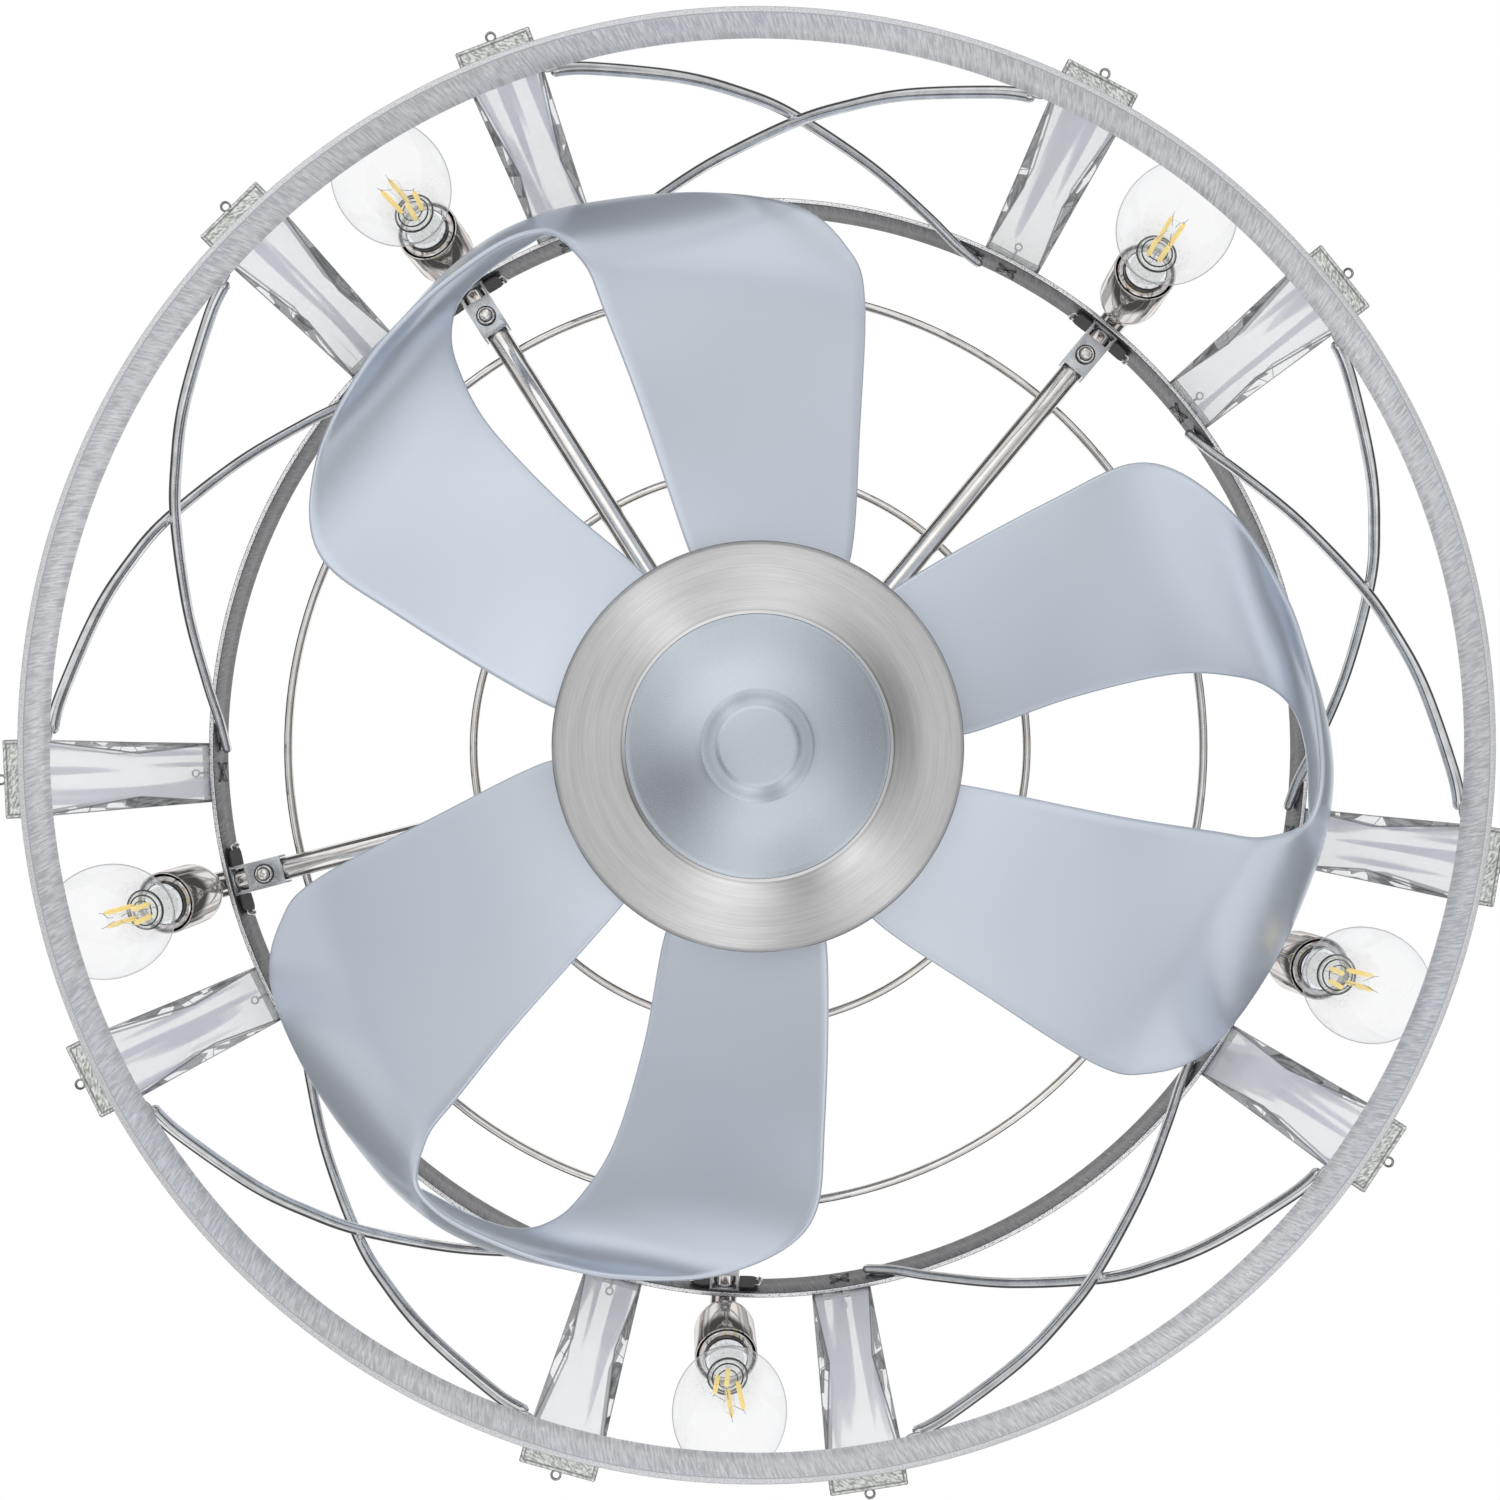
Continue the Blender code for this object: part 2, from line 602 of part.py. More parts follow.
def footMesh():
    """The foot's curved plate, rounded at both ends."""
    rounding = FOOT_HEIGHT / 2
    straight = FOOT_WIDTH / 2 - rounding
    right = arc((straight, 0.0), rounding, -90.0, 90.0, 6)
    outline = right + [(-across, -up) for across, up in right]
    shape = bmesh.new()
    near = [shape.verts.new((FOOT_INNER - FOOT_HEIGHT, y, z)) for y, z in outline]
    pulled = bmesh.ops.extrude_face_region(shape, geom=[shape.faces.new(near)])["geom"]
    moved = [item for item in pulled if isinstance(item, bmesh.types.BMVert)]
    bmesh.ops.translate(shape, verts=moved, vec=(2 * FOOT_HEIGHT, 0.0, 0.0))
    prism = asCutter(addObject("foot_prism", meshFrom(shape, "foot_prism"), collection=CUTTERS))
    reach = FOOT_HEIGHT / 2 + CUT_OVERRUN
    plate = addObject("foot_plate", extruded("foot_plate", footOutline(), -reach, reach))
    addBoolean(plate, prism, "INTERSECT")
    mesh = evaluatedMesh(plate, "foot")
    bpy.data.objects.remove(prism, do_unlink=True)
    return mesh


def roundHoleMesh(name, radius, centre, depth):
    shape = bmesh.new()
    bmesh.ops.create_cone(
        shape, cap_ends=True, segments=TINY, radius1=radius, radius2=radius,
        depth=depth, matrix=Matrix.Translation(centre),
    )
    return meshFrom(shape, name)


def nippleHoleMesh():
    shape = bmesh.new()
    start = FOOT_INNER - CUT_OVERRUN
    end = FOOT_OUTER + CUT_OVERRUN
    addRodsTo(shape, NIPPLE_RADIUS + SEAT_GAP, start, end, [(0.0, 0.0)])
    return meshFrom(shape, "nipple_hole")


def endBracketMesh():
    """A channel under the arm's end, open at the nut, with the foot that meets the hoop."""
    inside = ARM_RADIUS + SEAT_GAP
    outside = inside + END_PLATE_THICKNESS
    plateBottom = -outside
    start = END_PLATE_OUTER - END_PLATE_LENGTH
    lipTop = plateBottom + END_LIP_HEIGHT
    cutTop = lipTop + CUT_OVERRUN
    foot = footMesh()
    reach = FOOT_INNER + FOOT_THICKNESS / 2
    body = boxMesh("body", (start, -outside, plateBottom), (reach, outside, lipTop))
    channel = boxMesh("channel", (start - CUT_OVERRUN, -inside, -inside), (FOOT_INNER, inside, cutTop))
    windowLow = (END_PLATE_OUTER, -inside, plateBottom - CUT_OVERRUN)
    window = boxMesh("window", windowLow, (FOOT_INNER, inside, cutTop))
    holeCentre = (start + END_PLATE_LENGTH / 2, 0.0, -inside)
    screwHole = roundHoleMesh("screw_hole", END_SCREW_HOLE_RADIUS, holeCentre, 2 * ARM_RADIUS)
    steps = (
        (channel, "DIFFERENCE"), (window, "DIFFERENCE"), (foot, "UNION"),
        (screwHole, "DIFFERENCE"), (nippleHoleMesh(), "DIFFERENCE"),
    )
    bracket = addObject("end_bracket", body)
    helpers = [asCutter(addObject(mesh.name, mesh, collection=CUTTERS)) for mesh, _ in steps]
    for helper, (_, operation) in zip(helpers, steps):
        addBoolean(bracket, helper, operation)
    mesh = evaluatedMesh(bracket, "end_bracket")
    for helper in helpers:
        bpy.data.objects.remove(helper, do_unlink=True)
    return mesh


def addEndBrackets():
    mesh = endBracketMesh()
    for index in range(ARM_COUNT):
        bracket = addObject(f"end_bracket_{index + 1}", mesh, HOOP_STEEL)
        bracket.location = (0.0, 0.0, ARM_Z)
        bracket.rotation_euler = (0.0, 0.0, armTurn(index))


# Lamp holders and lamps


def holderPlace(index):
    """Reach of the holder's axis from the centre, and the turn of its own frame."""
    reach = HOOP_RADIUS + HOLDER_REACH * HOLDER_REACH_SHARES[index]
    turn = (math.radians(HOLDER_LEANS[index]), -math.radians(HOLDER_TILTS[index]), 0.0)
    return reach, turn


def cupProfile():
    shoulder = CUP_SHOULDER_END - CUP_SHOULDER_START
    flare = CUP_RADIUS - NECK_RADIUS
    outer = [
        (NECK_RADIUS + flare * out, -CUP_SHOULDER_START - shoulder * down)
        for out, down in CUP_SHOULDER_SHARES
    ]
    wall = CUP_RADIUS - CUP_WALL
    groove = -CUP_LENGTH + GROOVE_DEPTH
    face = -CUP_LENGTH + SLEEVE_RECESS
    bore = BULB_BASE_RADIUS + SEAT_GAP
    floor = face + HOLDER_BORE_DEPTH
    elbow = reversed(arc((0.0, 0.0), NECK_RADIUS, 0.0, 90.0, 2))
    return [
        *elbow, *outer, (CUP_RADIUS, -CUP_LENGTH), (wall, -CUP_LENGTH), (wall, groove),
        (SLEEVE_RADIUS, groove), (SLEEVE_RADIUS, face), (bore, face), (bore, floor), (0.0, floor),
    ]


def neckProfile(reach):
    """The stub through the hoop, from the elbow in, with the nut that clamps it."""
    nutOuter = FOOT_INNER - SEAT_GAP
    nutInner = nutOuter - NUT_LENGTH
    return [
        (0.0, reach), (NECK_RADIUS, reach), (NECK_RADIUS, NECK_START), (NIPPLE_RADIUS, NECK_START),
        (NIPPLE_RADIUS, nutOuter), (NUT_RADIUS, nutOuter), (NUT_RADIUS, nutInner), (0.0, nutInner),
    ]


def addLampHolder(index):
    reach, turn = holderPlace(index)
    name = f"lamp_holder_{index + 1}"
    neck = addTurned(name, neckProfile(reach), TINY, closed=False)
    neck.rotation_euler = (0.0, math.pi / 2, 0.0)
    cup = addTurned("cup", cupProfile(), SMALL, closed=False, collection=CUTTERS)
    cup.location = (reach, 0.0, 0.0)
    cup.rotation_euler = turn
    addBoolean(neck, asCutter(cup), "UNION")
    mesh = evaluatedMesh(neck, name)
    bpy.data.objects.remove(cup, do_unlink=True)
    holder = addObject(name, mesh, NICKEL)
    holder.location = (0.0, 0.0, ARM_Z)
    holder.rotation_euler = (0.0, 0.0, armTurn(index))


def bulbProfile():
    """From the contact down to the ball, in the holder's frame."""
    top = -CUP_LENGTH + SLEEVE_RECESS + HOLDER_BORE_DEPTH - SEAT_GAP
    face = -CUP_LENGTH + SLEEVE_RECESS - SEAT_GAP
    collar = face - BULB_COLLAR_LENGTH
    ball = (0.0, -CUP_LENGTH + CUP_WALL - BULB_BALL_DROP)
    tip = BULB_BASE_RADIUS / 3
    base = [(0.0, top), (BULB_BASE_RADIUS - tip, top), (BULB_BASE_RADIUS, top - tip)]
    neck = [
        (BULB_BASE_RADIUS, face), (BULB_COLLAR_RADIUS, face), (BULB_COLLAR_RADIUS, collar),
        (BULB_NECK_RADIUS, collar), (BULB_NECK_RADIUS + tip / 3, collar - 2 * BULB_COLLAR_LENGTH),
    ]
    glass = arc(ball, BULB_RADIUS, 58.0, -90.0, 7)
    return [*base, *neck, *glass[:-1], (0.0, ball[1] - BULB_RADIUS)]


def addBulb(index):
    reach, turn = holderPlace(index)
    seat = addEmpty(f"holder_axis_{index + 1}", (0.0, 0.0, ARM_Z), (0.0, 0.0, armTurn(index)))
    bulb = addTurned(f"bulb_{index + 1}", bulbProfile(), SMALL, CLEAR_GLASS, seat, closed=False)
    bulb.location = (reach, 0.0, 0.0)
    bulb.rotation_euler = turn


# Glass bars and crossed rods


def barRings():
    """The bar's two ends, four corners each, and its waist, two points for each corner."""
    half = BAR_WIDTH / 2
    pinch = half - BAR_PINCH
    top = TOP_HOOP_Z + HOOP_HEIGHT / 2 - BAR_TOP_INSET
    bottom = BOTTOM_HOOP_Z - HOOP_HEIGHT / 2 + BAR_BOTTOM_INSET
    middle = (top + bottom) / 2
    inner = HOOP_RADIUS + SEAT_GAP
    outer = inner + BAR_THICKNESS
    inset = BAR_PINCH_DEPTH
    corners = [(inner, -half), (inner, half), (outer, half), (outer, -half)]
    waist = [
        (inner, -pinch, middle), (inner, pinch, middle), (inner + inset, half, middle),
        (outer - inset, half, middle), (outer, pinch, middle), (outer, -pinch, middle),
        (outer - inset, -half, middle), (inner + inset, -half, middle),
    ]
    ends = [[(x, y, z) for x, y in corners] for z in (top, bottom)]
    return ends, waist


def barMesh():
    """A bar whose four long edges are cut in towards the middle by two flat facets each."""
    ends, waistPoints = barRings()
    shape = bmesh.new()
    waist = [shape.verts.new(point) for point in waistPoints]
    for points in ends:
        ring = [shape.verts.new(point) for point in points]
        for corner in range(4):
            side = 2 * corner
            following = (corner + 1) % 4
            shape.faces.new((ring[corner], waist[side - 1], waist[side]))
            shape.faces.new((ring[corner], waist[side], waist[side + 1], ring[following]))
        shape.faces.new(ring)
    return meshFrom(shape, "glass_bar")


def addGlassBars():
    mesh = barMesh()
    number = 0
    for index in range(ARM_COUNT):
        for offset in BAR_ANGLES:
            number += 1
            bar = addObject(f"glass_bar_{number}", mesh, CLEAR_GLASS)
            bar.rotation_euler = (0.0, 0.0, armTurn(index) + math.radians(offset))


def rodPoints(mirror, bow):
    """The centre line of one rod of a crossed pair, in the sector's frame."""
    top = TOP_HOOP_Z + HOOP_HEIGHT / 2 - ROD_TOP_INSET
    bottom = BOTTOM_HOOP_Z + HOOP_HEIGHT / 2 + SEAT_GAP + ROD_RADIUS * ROD_END_TILT_SHARE
    seat = HOOP_INNER - SEAT_GAP - ROD_RADIUS
    out = HOOP_RADIUS - HOOP_THICKNESS / 2 - seat
    rows = []
    for drop, spread, way, bend in ROD_SHARES:
        radius = seat + out * way + bow * bend
        turn = mirror * spread * ROD_SPREAD
        height = top + (bottom - top) * drop
        rows.append(Vector((radius * math.cos(turn), radius * math.sin(turn), height)))
    return smoothThrough(rows, ROD_STEPS)


def rodObject(name, points):
    curve = bpy.data.curves.new(name, "CURVE")
    curve.dimensions = "3D"
    curve.bevel_depth = ROD_RADIUS
    curve.bevel_resolution = 1
    curve.use_fill_caps = True
    spline = curve.splines.new("POLY")
    spline.points.add(len(points) - 1)
    for point, place in zip(spline.points, points):
        point.co = (*place, 1.0)
    rod = bpy.data.objects.new(name, curve)
    CUTTERS.objects.link(rod)
    mesh = evaluatedMesh(rod, name)
    return addObject(name, mesh, collection=CUTTERS)


def addRodCrosses():
    backBow = ROD_BOW + 2 * ROD_RADIUS - ROD_WELD
    front = rodObject("front_rod", rodPoints(1.0, ROD_BOW))
    back = rodObject("back_rod", rodPoints(-1.0, backBow))
    addBoolean(front, asCutter(back), "UNION")
    mesh = evaluatedMesh(front, "rod_cross")
    bpy.data.objects.remove(back, do_unlink=True)
    for index in range(ARM_COUNT):
        cross = addObject(f"rod_cross_{index + 1}", mesh, ROD_CHROME)
        cross.rotation_euler = (0.0, 0.0, armTurn(index) + math.pi / ARM_COUNT + ROD_TURN)


# Motor, from the arm hub down


def addShaft():
    flangeBottom = MOTOR_TOP - SHAFT_FLANGE_THICKNESS
    nutBottom = SHAFT_NUT_TOP - SHAFT_NUT_HEIGHT
    profile = [
        (0.0, MOTOR_TOP), (SHAFT_FLANGE_RADIUS, MOTOR_TOP), (SHAFT_FLANGE_RADIUS, flangeBottom),
        (SHAFT_COLLAR_RADIUS, flangeBottom), (SHAFT_COLLAR_RADIUS, SHAFT_SHOULDER),
        (SHAFT_RADIUS, SHAFT_SHOULDER), (SHAFT_RADIUS, SHAFT_NUT_TOP), (SHAFT_NUT_RADIUS, SHAFT_NUT_TOP),
        (SHAFT_NUT_RADIUS, nutBottom), (0.0, nutBottom),
    ]
    addTurned("motor_shaft", profile, SMALL, DARK_STEEL, closed=False)


def addBearings():
    bore = SHAFT_RADIUS + SEAT_GAP
    for name, top in (("upper_bearing", UPPER_BEARING_TOP), ("lower_bearing", LOWER_BEARING_TOP)):
        bottom = top - BEARING_HEIGHT
        profile = [(BEARING_RADIUS, top), (BEARING_RADIUS, bottom), (bore, bottom), (bore, top)]
        addTurned(name, profile, SMALL, CASE_ALUMINIUM)


def addRotorCase():
    seat = BEARING_RADIUS + SEAT_GAP
    boss = seat + BEARING_WALL
    coverBottom = ROTOR_TOP - BEARING_HEIGHT
    plateTop = ROTOR_TOP - ROTOR_PLATE
    plateBottom = plateTop - ROTOR_PLATE
    profile = [
        (boss, ROTOR_TOP), (boss, plateTop), (ROTOR_RADIUS, plateTop), (ROTOR_RADIUS, plateBottom),
        (boss, plateBottom), (boss, coverBottom), (seat, coverBottom), (seat, ROTOR_TOP),
    ]
    addTurned("rotor_cover", profile, PLAIN, CASE_ALUMINIUM)
    top = plateBottom - SEAT_GAP
    wall = ROTOR_RADIUS - ROTOR_WALL
    floor = ROTOR_BOTTOM + ROTOR_PLATE
    lipBottom = LOWER_BEARING_TOP + SEAT_GAP
    lipTop = lipBottom + ROTOR_LIP
    profile = [
        (ROTOR_RADIUS, top), (ROTOR_RADIUS, ROTOR_BOTTOM), (seat, ROTOR_BOTTOM), (seat, lipBottom),
        (ROTOR_LIP_RADIUS, lipBottom), (ROTOR_LIP_RADIUS, lipTop), (boss, lipTop), (boss, floor),
        (wall, floor), (wall, top),
    ]
    addTurned("rotor_bell", profile, PLAIN, CASE_ALUMINIUM)


def addStator():
    bore = SHAFT_RADIUS + SEAT_GAP
    outer = ROTOR_RADIUS - ROTOR_WALL - MAGNET_GAP
    winding = outer - WINDING_INSET
    space = (ROTOR_TOP - BEARING_HEIGHT + LOWER_BEARING_TOP + SEAT_GAP + ROTOR_LIP) / 2
    top = space + STATOR_HEIGHT / 2
    bottom = space - STATOR_HEIGHT / 2
    over = WINDING_OVERHANG
    profile = [
        (winding, top + over), (winding, top), (outer, top), (outer, bottom), (winding, bottom),
        (winding, bottom - over), (bore, bottom - over), (bore, top + over),
    ]
    addTurned("stator", profile, PLAIN, COPPER)


def addShroud():
    bottom = MOTOR_TOP - SHROUD_HEIGHT
    hole = SHAFT_FLANGE_RADIUS + SEAT_GAP
    corner = SHROUD_CORNER
    centre = (SHROUD_RADIUS - corner, MOTOR_TOP - corner)
    inner = SHROUD_RADIUS - SHROUD_WALL
    outside = [*arc(centre, corner, 90.0, 0.0, 2), (SHROUD_RADIUS, bottom), (inner, bottom)]
    bend = arc(centre, corner - SHROUD_WALL, 0.0, 90.0, 2)
    inside = [*bend, (hole, MOTOR_TOP - SHROUD_WALL), (hole, MOTOR_TOP)]
    addTurned("motor_shroud", outside + inside, ROUND, NICKEL)


# Blade hub, clamp, cover and cap


def addBladeHub():
    profile = [
        (BLADE_HUB_RADIUS, BLADE_HUB_TOP), (BLADE_HUB_RADIUS, BLADE_HUB_BOTTOM),
        (BLADE_HUB_BORE, BLADE_HUB_BOTTOM), (BLADE_HUB_BORE, BLADE_HUB_TOP),
    ]
    addTurned("blade_hub", profile, PLAIN, DARK_STEEL)
    plateBottom = CLAMP_TOP - CLAMP_THICKNESS
    profile = [
        (BLADE_HUB_RADIUS, CLAMP_TOP), (BLADE_HUB_RADIUS, plateBottom), (CLAMP_POST_RADIUS, plateBottom),
        (CLAMP_POST_RADIUS, CLAMP_BOTTOM), (CLAMP_POST_BORE, CLAMP_BOTTOM), (CLAMP_POST_BORE, CLAMP_TOP),
    ]
    addTurned("blade_clamp", profile, PLAIN, DARK_STEEL)


def addHubCover():
    rim = COVER_FLOOR_TOP + COVER_DEPTH
    floorBottom = COVER_FLOOR_TOP - COVER_WALL
    lip = rim + COVER_RIM
    profile = [
        (COVER_RADIUS, lip), (COVER_RADIUS, rim - COVER_WALL), (COVER_FLOOR_RADIUS, floorBottom),
        (COVER_HOLE_RADIUS, floorBottom), (COVER_HOLE_RADIUS, COVER_FLOOR_TOP),
        (COVER_FLOOR_RADIUS - COVER_WALL, COVER_FLOOR_TOP), (COVER_RADIUS - COVER_WALL, rim),
        (COVER_RADIUS - COVER_WALL, lip),
    ]
    addTurned("hub_cover", profile, ROUND, NICKEL)


def addHubCap():
    edge = COVER_FLOOR_RADIUS - SEAT_GAP
    edgeBottom = CAP_TOP - CAP_EDGE
    coneBottom = edgeBottom - CAP_CONE_DEPTH
    foot = CAP_BOSS_RADIUS + CAP_BOSS_FILLET
    bossBottom = coneBottom - CAP_BOSS_HEIGHT
    bossInside = bossBottom + CAP_WALL
    outside = [
        (edge, CAP_TOP), (edge, edgeBottom), (foot, coneBottom),
        (CAP_BOSS_RADIUS, coneBottom - CAP_BOSS_HEIGHT / 2),
        (CAP_BOSS_RADIUS - CAP_BOSS_FILLET / 2, bossBottom), (0.0, bossBottom),
    ]
    inside = [
        (0.0, bossInside), (CAP_BOSS_RADIUS - CAP_WALL, bossInside), (foot, coneBottom + CAP_WALL),
        (edge - CAP_WALL, edgeBottom + CAP_WALL / 2), (edge - CAP_WALL, CAP_TOP),
    ]
    addTurned("hub_cap", outside + inside, ROUND, SILVER_PAINT)


# Looped blades


def edgePoints(rows):
    """One edge of the ribbon as points of the loop's frame, angles seen from below."""
    points = []
    for reach, angle, rise in rows:
        radius = reach * BLADE_TIP_RADIUS
        turn = -math.radians(angle)
        height = BLADE_ROOT_Z + BLADE_RISE * rise
        points.append(Vector((radius * math.cos(turn), radius * math.sin(turn), height)))
    return points


def middlePoints(high, low):
    """Where the ribbon's section is pulled to, outwards at the tip and up along the blades."""
    points = []
    for a, b, bow, camber in zip(high, low, BOW_SHARES, CAMBER_SHARES):
        middle = (a + b) / 2
        outward = Vector((middle.x, middle.y, 0.0)).normalized()
        lift = Vector((0.0, 0.0, 2 * BLADE_CAMBER * camber))
        points.append(middle + outward * (2 * BLADE_BOW * bow) + lift)
    return points


def bladeMesh():
    high = edgePoints(HIGH_EDGE_SHARES)
    low = edgePoints(LOW_EDGE_SHARES)
    middle = middlePoints(high, low)
    rails = [smoothThrough(rows, BLADE_STEPS) for rows in (high, middle, low)]
    shape = bmesh.new()
    rows = []
    for a, c, b in zip(*rails):
        row = []
        for step in range(BLADE_CROSS_STEPS + 1):
            v = step / BLADE_CROSS_STEPS
            row.append(shape.verts.new(a * (1 - v) ** 2 + c * (2 * v * (1 - v)) + b * v ** 2))
        rows.append(row)
    for row, following in zip(rows, rows[1:]):
        for i in range(BLADE_CROSS_STEPS):
            shape.faces.new((row[i], row[i + 1], following[i + 1], following[i]))
    mesh = bpy.data.meshes.new("blade_loop")
    shape.to_mesh(mesh)
    shape.free()
    return finishMesh(mesh)


def addBlades():
    mesh = bladeMesh()
    for index in range(LOOP_COUNT):
        loop = addObject(f"blade_loop_{index + 1}", mesh, SILVER_PAINT)
        loop.rotation_euler = (0.0, 0.0, LOOP_PHASE + index * math.tau / LOOP_COUNT)
        skin = loop.modifiers.new("Thickness", "SOLIDIFY")
        skin.thickness = BLADE_THICKNESS
        skin.offset = 0.0
        skin.use_even_offset = True


def build():
    start = BRACKET_REACH - BRACKET_THICKNESS - CUT_OVERRUN
    sides = [(0.0, SCREW_Z), (math.pi, SCREW_Z)]
    radialCutter("canopy_screw_holes", SCREW_RADIUS + SEAT_GAP, start, CANOPY_RADIUS + CUT_OVERRUN, sides)
    addCeilingBracket()
    addCanopy()
    addCanopyScrews()
    addHanger()
    addArmHub()
    addArms()
    addGuardWires()
    addHoops()
    addEndBrackets()
    for index in range(ARM_COUNT):
        addLampHolder(index)
        addBulb(index)
    addGlassBars()
    addRodCrosses()
    addShroud()
    addShaft()
    addBearings()
    addRotorCase()
    addStator()
    addBladeHub()
    addHubCover()
    addHubCap()
    addBlades()


build()
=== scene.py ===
import math

import bmesh
import bpy
from mathutils import Euler, Matrix, Vector


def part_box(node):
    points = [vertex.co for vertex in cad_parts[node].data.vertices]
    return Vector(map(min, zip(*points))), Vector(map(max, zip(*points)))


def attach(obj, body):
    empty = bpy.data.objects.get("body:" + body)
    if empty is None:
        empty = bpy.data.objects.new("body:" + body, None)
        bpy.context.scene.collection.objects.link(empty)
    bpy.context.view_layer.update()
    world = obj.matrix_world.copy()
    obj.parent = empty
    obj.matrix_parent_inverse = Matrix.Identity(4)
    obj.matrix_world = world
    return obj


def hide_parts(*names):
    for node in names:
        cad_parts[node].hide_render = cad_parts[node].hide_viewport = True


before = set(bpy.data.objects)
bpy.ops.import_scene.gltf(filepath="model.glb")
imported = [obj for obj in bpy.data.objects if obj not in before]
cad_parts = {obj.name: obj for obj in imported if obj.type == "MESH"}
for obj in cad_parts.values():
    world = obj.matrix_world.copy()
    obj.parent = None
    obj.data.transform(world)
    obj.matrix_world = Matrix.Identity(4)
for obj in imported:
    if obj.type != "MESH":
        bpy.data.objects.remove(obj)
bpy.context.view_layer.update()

# Caged ceiling fan with five lamps, seen from below. World +X is image right, world +Y is image down.


def operation(kind, swapped=False):
    def made(self, other):
        pair = (other, self) if swapped else (self, other)
        return self.sheet.calc(kind, *pair)
    return made


class Wire:  # a node output that takes part in sums
    def __init__(self, sheet, socket):
        self.sheet = sheet
        self.socket = socket

    __add__ = __radd__ = operation("ADD")
    __sub__ = operation("SUBTRACT")
    __rsub__ = operation("SUBTRACT", swapped=True)
    __mul__ = __rmul__ = operation("MULTIPLY")
    __truediv__ = operation("DIVIDE")
    __rtruediv__ = operation("DIVIDE", swapped=True)
    __pow__ = operation("POWER")
    least = operation("MINIMUM")
    most = operation("MAXIMUM")

    def __neg__(self):
        return self * -1.0

    def out(self, name):
        return Wire(self.sheet, self.socket.node.outputs[name])

    def sine(self):
        return self.sheet.calc("SINE", self)

    def root(self):
        return self.sheet.calc("SQRT", self)

    def lobe(self, centre, power):  # a bump of 1 where this angle is at centre
        near = self.sheet.calc("COSINE", self - math.radians(centre))
        return near.most(0.0) ** power

    def step(self, low, high):  # 0 below low, 1 above high, soft between
        links = {"Value": self, "From Min": low, "From Max": high}
        return self.sheet.add("ShaderNodeMapRange", {"interpolation_type": "SMOOTHSTEP"}, links)

    def within(self, low, full, fading, gone):  # 1 from full to fading, 0 below low and above gone
        return self.step(low, full) * (1.0 - self.step(fading, gone))


class Sheet:  # one node tree that is written as expressions
    def __init__(self, tree):
        self.tree = tree
        tree.nodes.clear()

    def add(self, kind, settings=None, links=None, output=0):
        node = self.tree.nodes.new(kind)
        for name, value in (settings or {}).items():
            setattr(node, name, value)
        for name, value in (links or {}).items():
            if isinstance(value, Wire):
                self.tree.links.new(value.socket, node.inputs[name])
            else:
                node.inputs[name].default_value = value
        return Wire(self, node.outputs[output]) if len(node.outputs) else node

    def calc(self, kind, *values):
        return self.add("ShaderNodeMath", {"operation": kind}, dict(enumerate(values)))

    def place(self):  # the piece's own coordinates, in metres
        return self.add("ShaderNodeTexCoord", output="Object")

    def axes(self, vector):
        split = self.add("ShaderNodeSeparateXYZ", links={0: vector})
        return split, split.out("Y"), split.out("Z")

    def chart(self, name):  # a map of the mesh, and its two axes
        vector = self.add("ShaderNodeUVMap", {"uv_map": name})
        return (vector, *self.axes(vector)[:2])

    def bearing(self, x, y):
        return self.calc("ARCTAN2", y, x)

    def stretch(self, vector, scale, turn=(0.0, 0.0, 0.0)):
        return self.add("ShaderNodeMapping", links={"Vector": vector, "Scale": scale, "Rotation": turn})

    def combine(self, x, y, z):
        return self.add("ShaderNodeCombineXYZ", links={0: x, 1: y, 2: z})

    def noise(self, vector, scale, detail=3.0, rough=0.55):
        links = {"Vector": vector, "Scale": scale, "Detail": detail, "Roughness": rough}
        return self.add("ShaderNodeTexNoise", links=links)

    def rings(self, along, scale, detail=4.0):  # noise on one number, such as a radius
        links = {"W": along, "Scale": scale, "Detail": detail, "Roughness": 0.7}
        return self.add("ShaderNodeTexNoise", {"noise_dimensions": "1D"}, links)

    def cell(self, vector, scale):  # one random value in each cell
        links = {"Vector": vector, "Scale": scale}
        return self.axes(self.add("ShaderNodeTexVoronoi", links=links, output="Color"))[0]

    def blend(self, share, first, second):  # colours
        links = {0: share, 6: first, 7: second}
        return self.add("ShaderNodeMix", {"data_type": "RGBA"}, links, 2)

    def bump(self, height, distance, strength=1.0):
        links = {"Height": height, "Distance": distance, "Strength": strength}
        return self.add("ShaderNodeBump", links=links)


def rgb(red, green, blue):  # a screen colour, 0 to 255, as the shader's linear values
    shares = (v / 255 for v in (red, green, blue))
    return (*(((share + 0.055) / 1.055) ** 2.4 for share in shares), 1.0)


def grey(level):
    return (level, level, level, 1.0)


def sheetOf(owner):  # the empty node tree of a material or a world
    owner.use_nodes = True
    return Sheet(owner.node_tree)


def makeMaterial(name, recipe, look):
    material = bpy.data.materials.new(name)
    sheet = sheetOf(material)
    shader = sheet.add("ShaderNodeBsdfPrincipled", links=recipe(sheet, look))
    sheet.add("ShaderNodeOutputMaterial", links={"Surface": shader})
    return material


# Finishes. Scales are per metre, distances in metres.


